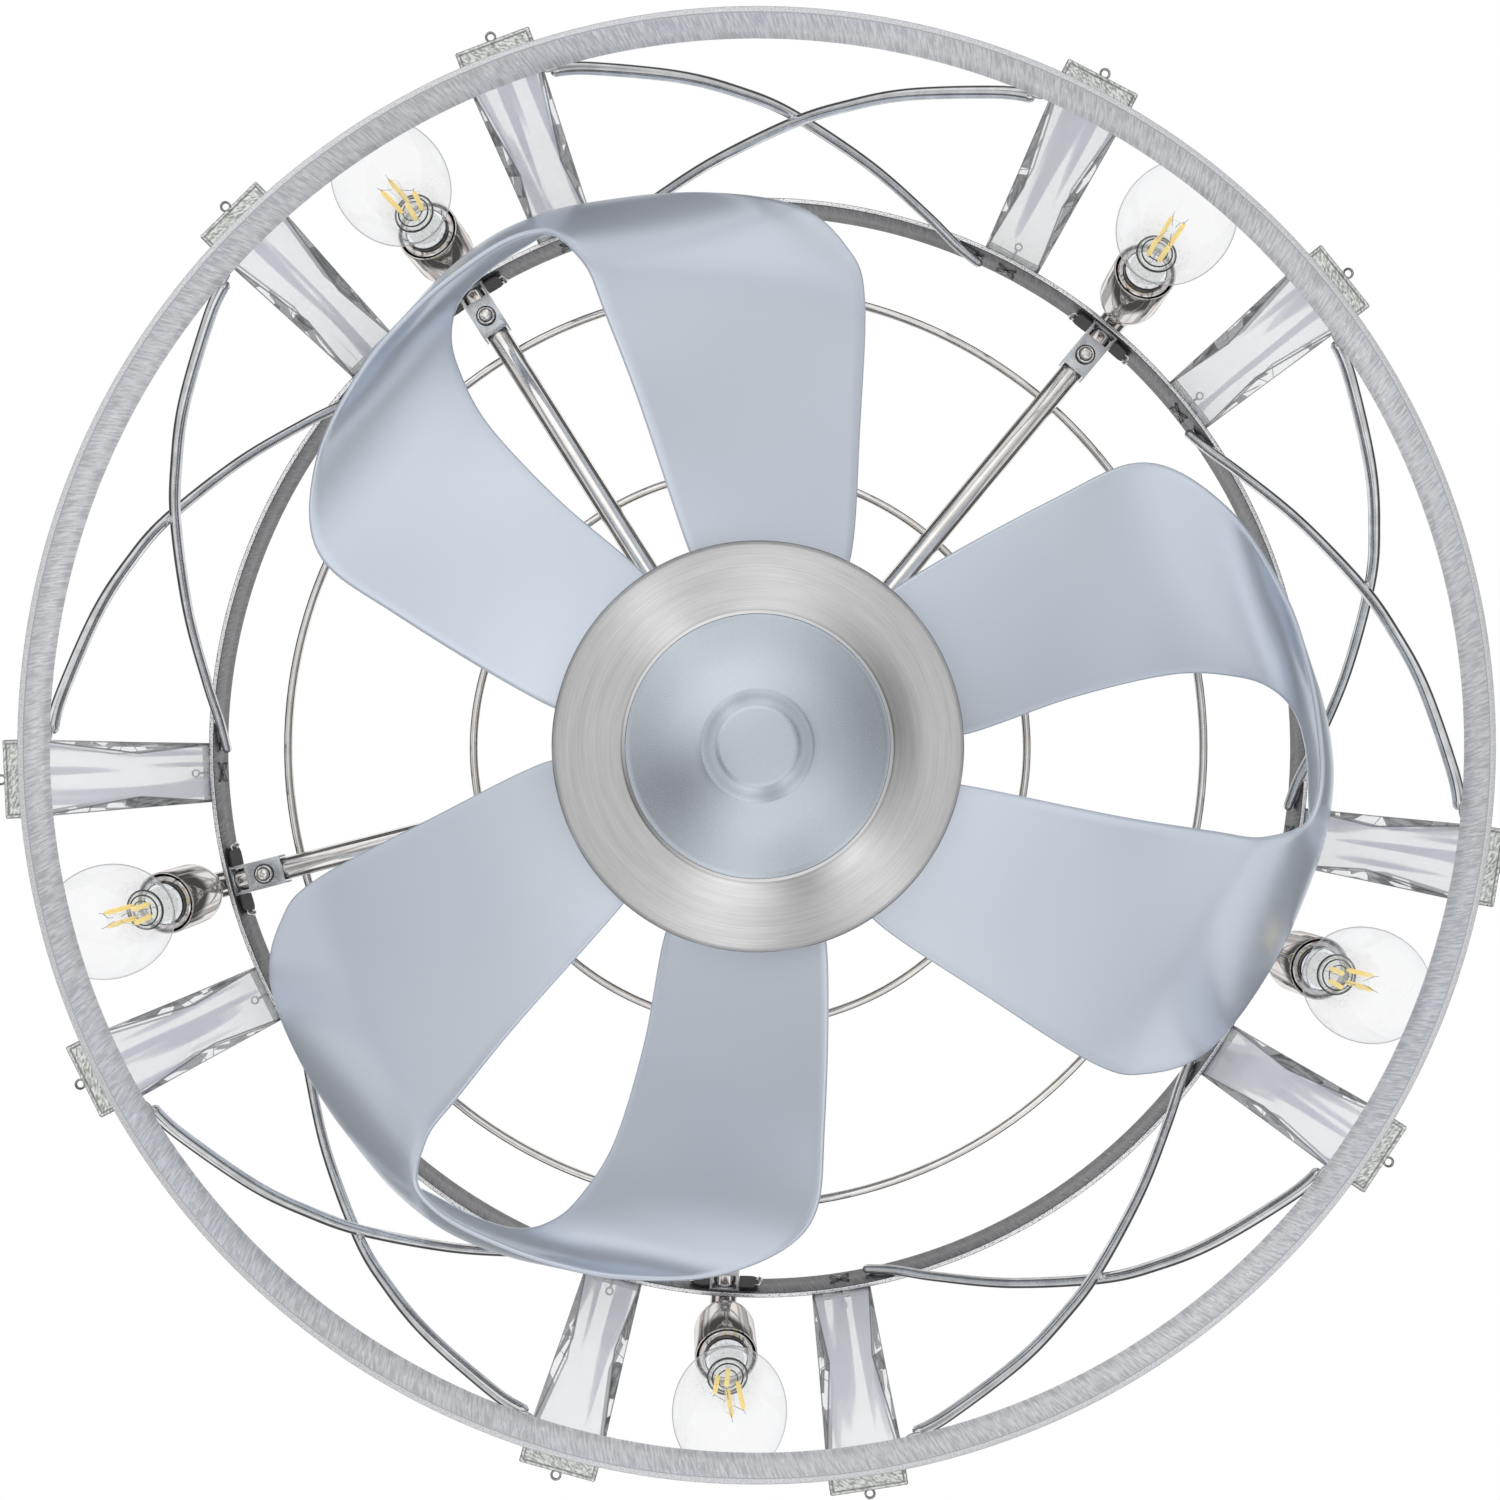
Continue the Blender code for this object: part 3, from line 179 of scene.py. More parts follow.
def polishedMetal(sheet, look):  # bright plating with faint wipe marks
    place = sheet.place()
    cloud = sheet.noise(place, look["cloud"], 2.0)
    wipe = sheet.noise(sheet.stretch(place, look["wipe"], (0.3, 0.2, 0.5)), 1.0, 4.0)
    dust = sheet.noise(place, 2600.0, 2.0).step(0.62, 0.72)
    tone = (cloud * 0.7 + wipe * 0.3).step(0.25, 0.75)
    return {
        "Base Color": sheet.blend(tone, look["dark"], look["light"]),
        "Metallic": 1.0 - dust * 0.1,
        "Roughness": look["rough"] + wipe * look["spread"] + dust * 0.05,
        "Normal": sheet.bump(wipe + dust * 0.2, look["bump"], 0.25),
    }


def strokedBand(sheet, look):  # a hoop's band, ground across its width, with painted dark shade lines along the corners of its lower face
    place, along, across = sheet.chart("band")
    bow = across * 42.0
    bend = bow * bow * 0.0016 + across * look["slant"]
    fine = sheet.noise(sheet.combine(along + bend, across * 0.09, 0.0), look["fine"], 4.0, 0.6)
    cut = sheet.combine(along + bend * 1.4, across * 0.22, 0.3)
    short = sheet.noise(cut, look["fine"] * 0.8, 2.0, 0.5)
    patch = sheet.noise(place, 60.0, 3.0)
    stroke = (short * 0.85 + patch * 0.15).step(look["low"], look["high"])
    nick = sheet.noise(sheet.stretch(place, (1.0, 0.35, 1.0)), 1900.0, 2.0).step(0.70, 0.78)
    base = sheet.blend(fine.step(0.38, 0.62), look["dark"], look["light"])
    colour = sheet.blend((stroke * look["strokes"] + nick * 0.2).least(0.9), base, look["bright"])
    edge = across.within(0.0003, 0.0004, 0.0018, 0.0019)
    # line: painted shade, dark lines along the two corners of the band's lower face
    line = (1.0 - across.step(0.0003, 0.0004)) + across.within(0.0018, 0.0019, 0.0022, 0.0023)
    grit = sheet.noise(place, 1500.0, 3.0).step(look["gritLow"], look["gritHigh"])
    colour = sheet.blend(edge, colour, sheet.blend(grit, look["edgeDark"], look["edge"]))
    return {
        "Base Color": sheet.blend(line * 0.7, colour, look["line"]),
        "Metallic": look["metal"],
        "Roughness": look["rough"] + (fine - 0.5) * 0.22 - stroke * 0.08,
        "Normal": sheet.bump(fine * 0.7 + stroke * 0.5 + nick * 0.6, look["bump"], 0.6),
    }


def spunMetal(sheet, look):  # turned on a lathe, fine rings round Z
    place = sheet.place()
    x, y, z = sheet.axes(place)
    wander = sheet.noise(place, 9.0, 2.0) * 0.0006
    along = (x * x + y * y).root() + z * 0.4 + wander
    fine = sheet.rings(along, look["fine"])
    broad = sheet.rings(along, look["fine"] * 0.3, 2.0)
    streak = sheet.noise(sheet.stretch(place, (40.0, 40.0, 900.0)), 1.0, 2.0)
    tone = (fine * 0.55 + broad * 0.2 + streak * 0.25).step(0.2, 0.8)
    return {
        "Base Color": sheet.blend(tone, look["dark"], look["light"]),
        "Metallic": look["metal"],
        "Roughness": look["rough"] + (fine - 0.5) * look["spread"],
        "Anisotropic": look["drawn"],
        "Normal": sheet.bump(fine * 0.7 + broad * 0.3, look["bump"], 0.5),
    }


def satinPaint(sheet, look):  # silver paint, a fine orange peel with flakes under it
    place = sheet.place()
    peel = sheet.noise(place, 360.0, 2.0)
    spark = sheet.cell(place, 3400.0)
    cloud = sheet.noise(place, 9.0, 1.0)
    base = sheet.blend(cloud.step(0.2, 0.8), look["dark"], look["light"])
    return {
        "Base Color": sheet.blend(spark.step(0.75, 1.0) * 0.02, base, look["bright"]),
        "Metallic": look["metal"],
        "Roughness": look["rough"] + (spark - 0.5) * 0.008 + (peel - 0.5) * 0.03,
        "Coat Weight": look["coat"],
        "Coat Roughness": 0.25,
        "Normal": sheet.bump(peel, look["bump"], 0.4),
    }


def plainMetal(sheet, look):  # rolled sheet, drawn bar and cast pieces
    place = sheet.place()
    grain = sheet.noise(sheet.stretch(place, look["grain"]), 1.0, 4.0, 0.65)
    cloud = sheet.noise(place, 60.0, 2.0)
    pit = sheet.noise(place, 1500.0, 3.0).step(0.6, 0.7)
    tone = (grain * 0.6 + cloud * 0.4).step(0.3, 0.7)
    return {
        "Base Color": sheet.blend(tone, look["dark"], look["light"]),
        "Metallic": look["metal"],
        "Roughness": look["rough"] + (grain - 0.5) * 0.25 + pit * 0.1,
        "Normal": sheet.bump(grain - pit * 0.4, look["bump"], 0.5),
    }


def woundWire(sheet, look):  # enamelled wire, wound over the stator's teeth
    x, y, _ = sheet.axes(sheet.place())
    turn = sheet.bearing(x, y)
    strand = (turn * 240.0).sine()
    # painted shade: the wire darkens to the dark copper in the gaps between the winding bundles
    gap = (turn * 12.0).sine().step(-0.9, -0.5)
    tarnish = sheet.noise(sheet.place(), 180.0, 3.0)
    tone = (strand * 0.5 + 0.5) * 0.6 + tarnish * 0.4
    return {
        "Base Color": sheet.blend(tone * gap, look["dark"], look["light"]),
        "Metallic": 0.85,
        "Roughness": 0.3 + tarnish * 0.25,
        "Normal": sheet.bump(strand * gap, 0.0002, 0.7),
    }


def barGlass(sheet, look):  # a cut bar: clear broad faces with painted pale and shaded bands of refraction, side facets with painted dark angular streaks of refraction, mottled green-grey ends with a painted dark outline, and painted dark lines on the eased edges
    x, y, _ = sheet.axes(sheet.place())
    which = sheet.calc("FLOOR", (sheet.bearing(x, y) - look["firstTurn"]) / look["turnStep"])
    _, across, along = sheet.chart("bar")
    _, sort, rim = sheet.chart("kind")
    side = sort.within(0.2, 0.3, 0.7, 0.8)
    end = sort.step(0.7, 0.8)
    key = sheet.combine(across * look["bands"], along * 6.0, which * 3.7)
    # painted refraction: pale and shaded bands across the broad faces
    band = sheet.noise(key, 1.0, 1.0).step(0.455, 0.495)
    broad = sheet.blend(band, look["shade"], look["clear"])
    skew = sheet.combine(along * look["cuts"] + across * 150.0, across * 260.0, which * 5.3)
    # painted refraction: dark angular cells and grey streaks on the side facets
    dark = 1.0 - sheet.cell(skew, 1.0).step(0.50, 0.53)
    streak = sheet.noise(sheet.combine(along * 70.0, across * 1700.0, which), 1.0, 3.0).step(0.3, 0.7)
    facet = sheet.blend(dark, look["clear"], sheet.blend(streak, look["deep"], look["grey"]))
    mottle = sheet.noise(sheet.combine(across * 900.0, along * 900.0, which), 1.0, 3.0).step(0.36, 0.62)
    tile = sheet.blend(mottle, look["mossDark"], look["moss"])
    low, high = look["long"]
    beside = across - (along - low)
    inward = (look["half"] - beside.most(-beside)).least(along - low).least(high - along)
    # painted shade: a dark outline just inside each end face
    tile = sheet.blend(inward.within(0.0009, 0.0011, 0.0015, 0.0017) * 0.75, tile, look["line"])
    colour = sheet.blend(end, sheet.blend(side, broad, facet), tile)
    cover = look["thin"] + (1.0 - band) * look["thick"]
    cover = cover * (1.0 - side) + (0.25 + dark * 0.65) * side
    cover = cover * (1.0 - end) + end * 0.88
    return {
        # painted shade: dark lines along the eased edges
        "Base Color": sheet.blend(rim * 0.85, colour, look["line"]),
        "Roughness": 0.06 + mottle * 0.05,
        "Alpha": cover * (1.0 - rim) + rim * look["lineCover"],
        "Normal": sheet.bump(streak + mottle, look["bump"], 0.3),
    }


def thinGlass(sheet, look):  # blown glass: clear where it faces the eye, with a painted dark line at its rim, painted dark streaks and a painted pale light near the neck, and painted pale highlight patches
    facing = sheet.add("ShaderNodeLayerWeight", links={"Blend": 0.5}, output="Facing")
    ripple = sheet.noise(sheet.place(), look["ripple"], 2.0)
    rim = (facing + (ripple - 0.5) * 0.05).step(look["from"], look["to"])
    _, beside, over = sheet.chart("spin")
    _, down, _ = sheet.chart("drop")
    key = sheet.combine(beside * look["wave"], over * look["wave"], down * look["rows"])
    neck = look["neck"]
    # painted dark streaks near the neck
    streak = sheet.noise(key, 1.0, 2.0).step(0.60, 0.67) * (1.0 - down.step(neck, neck * 2.2))
    streak = streak * look["streak"]
    spots = sheet.combine(beside * 1.6, over * 1.6, down * 60.0)
    # painted highlight: pale patches on the glass
    patch = sheet.noise(spots, 1.0, 1.0).step(0.56, 0.62)
    # painted light: a pale layer over the neck, where it would lie in shade
    paintedNeckLight = (1.0 - down.step(neck * 0.8, neck * 2.4)) * look["paintedNeckLight"]
    body = sheet.blend(patch.most(paintedNeckLight * 2.0), look["clear"], look["pale"])
    cover = look["thin"] + facing ** 3.0 * look["curve"] + rim * look["line"] + patch * look["patch"]
    return {
        "Base Color": sheet.blend(rim.most(streak), body, look["dark"]),
        "Roughness": 0.03 + ripple * 0.03,
        "Alpha": (cover + paintedNeckLight).most(streak * 0.7),
        "Normal": sheet.bump(ripple, look["bump"], 0.3),
    }


def paleSeal(sheet, look):  # white cement, with a painted glow that stands in for the light reaching it through the glass round it
    made = plainMetal(sheet, look)
    made["Emission Color"] = made["Base Color"]
    made["Emission Strength"] = look["glow"]
    return made


def phosphor(sheet, look):  # the yellow coat of a lamp's filament, in small beads, with a painted glow as the lamp is not lit
    place = sheet.place()
    _, _, z = sheet.axes(place)
    bead = (z * 7200.0).sine() * 0.5 + 0.5
    grain = sheet.noise(place, 2200.0, 2.0)
    tone = (bead * 0.5 + grain * 0.5).step(0.25, 0.75)
    colour = sheet.blend(tone, look["dark"], look["light"])
    return {
        "Base Color": colour,
        "Roughness": 0.45 + grain * 0.15,
        "Emission Color": colour,
        "Emission Strength": look["glow"],
        "Normal": sheet.bump(bead, 0.00008, 0.5),
    }


looks = {
    "nickel": ("polishedNickel", polishedMetal, {
        "dark": rgb(228, 224, 220), "light": rgb(250, 248, 246), "cloud": 90.0, "wipe": (220.0, 900.0, 220.0),
        "rough": 0.06, "spread": 0.05, "bump": 0.000006}),
    "cup": ("cupNickel", polishedMetal, {
        "dark": rgb(216, 210, 207), "light": rgb(238, 233, 230), "cloud": 60.0, "wipe": (300.0, 300.0, 60.0),
        "rough": 0.05, "spread": 0.05, "bump": 0.000008}),
    "chrome": ("rodChrome", polishedMetal, {
        "dark": rgb(204, 205, 207), "light": rgb(238, 239, 241), "cloud": 140.0,
        "wipe": (500.0, 500.0, 180.0), "rough": 0.07, "spread": 0.05, "bump": 0.000008}),
    "lowBand": ("lowerHoopSteel", strokedBand, {
        "dark": rgb(202, 203, 206), "light": rgb(238, 239, 242), "bright": rgb(254, 254, 255), "slant": 0.10,
        "fine": 1400.0, "low": 0.58, "high": 0.68, "strokes": 0.8, "metal": 0.35, "rough": 0.36,
        "bump": 0.00002, "edge": rgb(226, 227, 230), "edgeDark": rgb(204, 205, 208),
        "line": rgb(184, 185, 188), "gritLow": 0.4, "gritHigh": 0.6}),
    # the top hoop: a darker copy of the lower hoop's steel, its inner face painted in shade and its corner
    # lines painted darker
    "shadedHighBand": ("upperHoopSteelPaintedShade", strokedBand, {
        "dark": rgb(118, 118, 120), "light": rgb(144, 144, 146), "bright": rgb(226, 226, 228), "slant": 0.12,
        "fine": 1300.0, "low": 0.62, "high": 0.74, "strokes": 0.5, "metal": 0.7, "rough": 0.34,
        "bump": 0.00002, "edge": rgb(252, 252, 253), "edgeDark": rgb(120, 121, 124),
        "line": rgb(70, 71, 74), "gritLow": 0.36, "gritHigh": 0.46}),
    "spun": ("spunNickel", spunMetal, {
        "dark": rgb(192, 191, 191), "light": rgb(238, 237, 237), "fine": 3000.0, "metal": 1.0, "rough": 0.15,
        "spread": 0.06, "drawn": 0.5, "bump": 0.000010}),
    "capSilver": ("capSilver", satinPaint, {
        "dark": rgb(194, 203, 212), "light": rgb(204, 212, 221), "bright": rgb(226, 233, 239), "metal": 0.9,
        "rough": 0.27, "coat": 0.0, "bump": 0.000002}),
    "bladeSilver": ("bladeSilver", satinPaint, {
        "dark": rgb(208, 217, 230), "light": rgb(220, 228, 239), "bright": rgb(236, 241, 247), "metal": 0.6,
        "rough": 0.30, "coat": 0.1, "bump": 0.000004}),
    "plate": ("bracketPlate", plainMetal, {
        "dark": rgb(186, 189, 193), "light": rgb(216, 219, 222), "grain": (260.0, 2600.0, 900.0),
        "metal": 0.8, "rough": 0.20, "bump": 0.00004}),
    # black steel for the feet, and also the painted shade of the screw shades, holder grooves and stem rings
    "black": ("blackSteelAndPaintedShade", plainMetal, {
        "dark": rgb(34, 33, 35), "light": rgb(58, 56, 59), "grain": (500.0, 500.0, 500.0), "metal": 0.3,
        "rough": 0.42, "bump": 0.00004}),
    "darkSteel": ("darkSteel", plainMetal, {
        "dark": rgb(92, 92, 95), "light": rgb(124, 124, 127), "grain": (300.0, 2400.0, 2400.0), "metal": 0.9,
        "rough": 0.36, "bump": 0.00005}),
    "case": ("castAluminium", plainMetal, {
        "dark": rgb(196, 197, 199), "light": rgb(228, 229, 231), "grain": (900.0, 900.0, 900.0),
        "metal": 0.95, "rough": 0.38, "bump": 0.00008}),
    "seal": ("lampSeal", paleSeal, {
        "dark": rgb(234, 235, 236), "light": rgb(252, 252, 252), "grain": (700.0, 700.0, 700.0), "metal": 0.0,
        "rough": 0.25, "glow": 0.5, "bump": 0.00004}),
    "pin": ("pinSteel", polishedMetal, {
        "dark": rgb(128, 129, 130), "light": rgb(190, 191, 192), "cloud": 300.0,
        "wipe": (900.0, 900.0, 900.0), "rough": 0.16, "spread": 0.10, "bump": 0.00001}),
    "winding": ("copperWinding", woundWire, {"dark": rgb(96, 44, 20), "light": rgb(202, 120, 66)}),
    "barGlass": ("barGlass", barGlass, {
        "clear": rgb(252, 253, 255), "shade": rgb(218, 220, 230), "bands": 150.0, "cuts": 62.0,
        "deep": rgb(52, 54, 56), "grey": rgb(160, 162, 164), "mossDark": rgb(146, 150, 142),
        "moss": rgb(240, 242, 238), "line": rgb(84, 86, 90), "thin": 0.34, "thick": 0.4, "lineCover": 0.9,
        "long": (0.2403, 0.2483), "half": 0.013, "firstTurn": 0.0524, "turnStep": 0.20944, "bump": 0.00002}),
    "bulbGlass": ("bulbGlass", thinGlass, {
        "clear": rgb(206, 212, 224), "dark": rgb(104, 110, 116), "pale": rgb(250, 251, 253), "ripple": 38.0,
        "from": 0.74, "to": 0.93, "thin": 0.06, "curve": 0.20, "line": 0.62, "patch": 0.16, "wave": 3.0,
        "rows": 700.0, "neck": 0.007, "streak": 0.7, "paintedNeckLight": 0.20, "bump": 0.00003}),
    "stemGlass": ("stemGlass", thinGlass, {
        "clear": rgb(224, 228, 216), "dark": rgb(66, 72, 60), "pale": rgb(238, 241, 232), "ripple": 300.0,
        "from": 0.66, "to": 0.95, "thin": 0.05, "curve": 0.10, "line": 0.40, "patch": 0.10, "wave": 2.0,
        "rows": 1100.0, "neck": 0.010, "streak": 0.3, "paintedNeckLight": 0.12, "bump": 0.00003}),
    "phosphor": ("filamentPhosphor", phosphor, {
        "dark": rgb(246, 206, 104), "light": rgb(255, 240, 168), "glow": 0.28}),
}
finishes = {name: makeMaterial(*look) for name, look in looks.items()}
print("finishes made:", len(finishes))


# Mesh tools


def toMesh(shape, sharp=32.0, matrix=None):
    if matrix is not None:
        bmesh.ops.transform(shape, matrix=matrix, verts=shape.verts)
    bmesh.ops.remove_doubles(shape, verts=shape.verts, dist=0.000001)
    bmesh.ops.recalc_face_normals(shape, faces=shape.faces)
    mesh = bpy.data.meshes.new("mesh")
    shape.to_mesh(mesh)
    shape.free()
    mesh.shade_smooth()
    mesh.set_sharp_from_angle(angle=math.radians(sharp))
    return mesh


def linked(name, data):  # a new object in the scene
    made = bpy.data.objects.new(name, data)
    bpy.context.scene.collection.objects.link(made)
    return made


def modified(maker, *others):  # the mesh that the maker's modifier gives, with its helpers taken away
    bpy.context.view_layer.update()
    mesh = bpy.data.meshes.new_from_object(maker.evaluated_get(bpy.context.evaluated_depsgraph_get()))
    for helper in (maker, *others):
        bpy.data.objects.remove(helper, do_unlink=True)
    return mesh


def fit(name, mesh, body, finish, nodes=()):  # a finished piece on its body
    mesh.name = name
    piece = linked(name, mesh)
    if finish:
        mesh.materials.clear()
        mesh.materials.append(finishes[finish])
    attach(piece, body)
    if nodes:
        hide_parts(*nodes)


def numbered(name, numbers=range(1, 6)):  # names of CAD nodes
    return [f"{name}_{number}" for number in numbers]


def polar(radius, turn, z=0.0):
    return Vector((radius * math.cos(turn), radius * math.sin(turn), z))


def up(z):
    return Vector((0.0, 0.0, z))


def outward(point):  # the level direction from the axis to a point
    return Vector((point.x, point.y, 0.0)).normalized()


def circle(radius, z, count, middle=0.0):
    shift = Vector((middle, 0.0, 0.0))
    return [polar(radius, math.tau * i / count, z) + shift for i in range(count)]


def alongX(z, turn=0.0):  # turns a lathe axis from Z to X, at a height
    lying = Matrix.Rotation(turn, 4, "Z") @ Matrix.Rotation(math.pi / 2, 4, "Y")
    return Matrix.Translation(up(z)) @ lying


def turned(shape, profile, segments, matrix=None, closed=False):  # (radius, z) points round Z
    rows = []
    for radius, z in profile:
        if radius < 1e-7:
            rows.append([shape.verts.new((0.0, 0.0, z))] * segments)
        else:
            rows.append([shape.verts.new(point) for point in circle(radius, z, segments)])
    pairs = list(zip(rows, rows[1:]))
    if closed:
        pairs.append((rows[-1], rows[0]))
    for row, following in pairs:
        for i in range(segments):
            k = (i + 1) % segments
            corners = [row[i], row[k], following[k], following[i]]
            corners = [v for n, v in enumerate(corners) if v not in corners[:n]]
            if len(corners) > 2:
                shape.faces.new(corners)
    if matrix is not None:
        verts = {v for row in rows for v in row}
        bmesh.ops.transform(shape, matrix=matrix, verts=list(verts))


def lathe(profile, segments, matrix=None, closed=False, sharp=32.0):  # one turned piece
    shape = bmesh.new()
    turned(shape, profile, segments, matrix, closed)
    return toMesh(shape, sharp)


def skin(shape, rows, looped=False):  # faces round closed rows of corners, from row to row
    rows = [[shape.verts.new(point) for point in row] for row in rows]
    pairs = list(zip(rows, rows[1:]))
    if looped:
        pairs.append((rows[-1], rows[0]))
    else:
        shape.faces.new(rows[0][::-1])
        shape.faces.new(rows[-1])
    for row, following in pairs:
        for k in range(len(row)):
            n = (k + 1) % len(row)
            shape.faces.new((row[k], row[n], following[n], following[k]))


def tube(shape, points, radius, sides, looped=False, squash=1.0):  # a round bar along points
    rows = []
    count = len(points)
    side = None
    for i, point in enumerate(points):
        before = points[i - 1] if i or looped else points[0]
        after = points[(i + 1) % count] if i + 1 < count or looped else points[-1]
        along = (after - before).normalized()
        if side is None:
            side = along.orthogonal().normalized()
        side = (side - along * side.dot(along)).normalized()
        other = along.cross(side)
        here = radius[i] if isinstance(radius, list) else radius
        angles = [math.tau * k / sides for k in range(sides)]
        rows.append([
            point + side * (here * math.cos(a)) + other * (here * squash * math.sin(a)) for a in angles
        ])
    skin(shape, rows, looped)


def blob(shape, centre, size, matrix=None):  # a small weld bead
    place = (matrix or Matrix()) @ Matrix.Translation(centre) @ Matrix.Diagonal((*size, 1.0))
    bmesh.ops.create_uvsphere(shape, u_segments=12, v_segments=8, radius=1.0, matrix=place)


def arc(centre, radius, first, last, steps):
    turns = [math.radians(first + (last - first) * i / steps) for i in range(steps + 1)]
    return [(centre[0] + radius * math.cos(t), centre[1] + radius * math.sin(t)) for t in turns]


def bezier(a, b, c, d, steps):
    rows = []
    for i in range(steps + 1):
        t = i / steps
        u = 1 - t
        pulls = ((u ** 3, a), (3 * u * u * t, b), (3 * u * t * t, c), (t ** 3, d))
        rows.append(tuple(sum(share * point[k] for share, point in pulls) for k in (0, 1)))
    return rows


def smoothThrough(rows, steps):
    points = []
    last = len(rows) - 1
    for i in range(last):
        before, start = rows[max(i - 1, 0)], rows[i]
        end, after = rows[i + 1], rows[min(i + 2, last)]
        for step in range(steps):
            t = step / steps
            points.append(
                start + (end - before) * (t / 2)
                + (before * 2 - start * 5 + end * 4 - after) * (t * t / 2)
                + (start * 3 - before - end * 3 + after) * (t ** 3 / 2)
            )
    points.append(rows[last])
    return points


def bevelled(shape, width, angle):
    bmesh.ops.recalc_face_normals(shape, faces=shape.faces)
    shape.normal_update()
    least = math.radians(angle)
    edges = [e for e in shape.edges if len(e.link_faces) == 2 and e.calc_face_angle(0.0) > least]
    made = bmesh.ops.bevel(
        shape, geom=edges, offset=width, segments=2, affect="EDGES", profile=0.5, clamp_overlap=True,
    )
    return set(made["faces"])


def fromNode(node):  # a merged copy of a CAD node's loose triangles
    shape = bmesh.new()
    shape.from_mesh(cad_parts[node].data)
    bmesh.ops.remove_doubles(shape, verts=shape.verts, dist=0.000002)
    bmesh.ops.dissolve_limit(
        shape, angle_limit=math.radians(0.5), verts=shape.verts, edges=shape.edges,
        use_dissolve_boundaries=False,
    )
    return shape


# Layout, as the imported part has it
layout = {
    "arms": 5, "armPhase": math.radians(21.7), "armZ": -0.087, "armRadius": 0.005,
    "loops": 3, "loopPhase": math.radians(4.0),
    "hoopRadius": 0.240, "hoopWall": 0.002, "hoopHeight": 0.014, "topZ": -0.087, "bottomZ": -0.212,
    "gap": 0.0003,
}


def armTurn(index):
    return layout["armPhase"] + index * math.tau / layout["arms"]


def levels(node):  # the lowest and highest Z of a CAD node
    low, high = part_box(node)
    return low[2], high[2]


# Geometry Nodes: one shape set round the axis, for most pieces that repeat by the arm, and for the canopy
# screws


def ringTree():
    tree = bpy.data.node_groups.new("setRound", "GeometryNodeTree")
    inputs = {"Shape": "Object", "Count": "Int", "Phase": "Float", "Step": "Float", "Finish": "Material"}
    for name, kind in inputs.items():
        tree.interface.new_socket(name=name, in_out="INPUT", socket_type="NodeSocket" + kind)
    tree.interface.new_socket(name="Geometry", in_out="OUTPUT", socket_type="NodeSocketGeometry")
    sheet = Sheet(tree)
    given = sheet.add("NodeGroupInput", output="Shape")
    settings = {"transform_space": "ORIGINAL"}
    shape = sheet.add("GeometryNodeObjectInfo", settings, {"Object": given}, "Geometry")
    spots = sheet.add("GeometryNodeMeshLine", links={"Count": given.out("Count"), "Offset": (0.0, 0.0, 0.0)})
    index = sheet.add("GeometryNodeInputIndex")
    turn = index * given.out("Step") + given.out("Phase")
    links = {"Points": spots, "Instance": shape, "Rotation": sheet.combine(0.0, 0.0, turn)}
    placed = sheet.add("GeometryNodeInstanceOnPoints", links=links)
    whole = sheet.add("GeometryNodeRealizeInstances", links={"Geometry": placed})
    done = sheet.add("GeometryNodeSetMaterial", links={"Geometry": whole, "Material": given.out("Finish")})
    sheet.add("NodeGroupOutput", links={"Geometry": done})
    return tree


ringOf = ringTree()


def setRound(mesh, finish, count=5, phase=layout["armPhase"]):
    source = linked("source", mesh)
    holder = linked("holder", bpy.data.meshes.new("holder"))
    values = {
        "Shape": source, "Count": count, "Phase": phase, "Step": math.tau / count, "Finish": finishes[finish],
    }
    modifier = holder.modifiers.new("ring", "NODES")
    modifier.node_group = ringOf
    for item in ringOf.interface.items_tree:
        if item.in_out == "INPUT":
            modifier[item.identifier] = values[item.name]
    return modified(holder, source)


def fitRound(name, mesh, finish, slot, nodes=(), **where):
    fit(name, setRound(mesh, finish, **where), "frame", None, nodes)


# Hoops: flat bands with eased edges and a band map in metres

hoop = {"segments": 288, "ease": 0.00035}


def hoopMesh(middle):  # at this height
    half = layout["hoopHeight"] / 2
    outer = layout["hoopRadius"]
    inner = outer - layout["hoopWall"]
    e = hoop["ease"]
    section = [
        (inner, -half + e), (inner + e * 0.3, -half + e * 0.3), (inner + e, -half), (outer - e, -half),
        (outer - e * 0.3, -half + e * 0.3), (outer, -half + e), (outer, half - e), (outer - e, half),
        (inner + e, half), (inner, half - e),
    ]
    runs = [0.0]
    for (r1, z1), (r2, z2) in zip(section, section[1:] + section[:1]):
        runs.append(runs[-1] + math.hypot(r2 - r1, z2 - z1))
    shape = bmesh.new()
    band = shape.loops.layers.uv.new("band")
    count = hoop["segments"]
    turns = [math.tau * i / count for i in range(count + 1)]
    rows = [[shape.verts.new(polar(r, turn, middle + z)) for r, z in section] for turn in turns[:-1]]
    for i in range(count):
        k = (i + 1) % count
        for j in range(len(section)):
            n = (j + 1) % len(section)
            face = shape.faces.new((rows[i][j], rows[k][j], rows[k][n], rows[i][n]))
            spots = ((i, j), (i + 1, j), (i + 1, j + 1), (i, j + 1))
            for loop, (u, v) in zip(face.loops, spots):
                loop[band].uv = (turns[u] * outer, runs[v])
    return toMesh(shape, 50.0)


fit("topHoop", hoopMesh(layout["topZ"]), "frame", "shadedHighBand", ["top_hoop"])
fit("bottomHoop", hoopMesh(layout["bottomZ"]), "frame", "lowBand", ["bottom_hoop"])
print("hoops done")


# Arms, guard wires and the hub that holds the arms

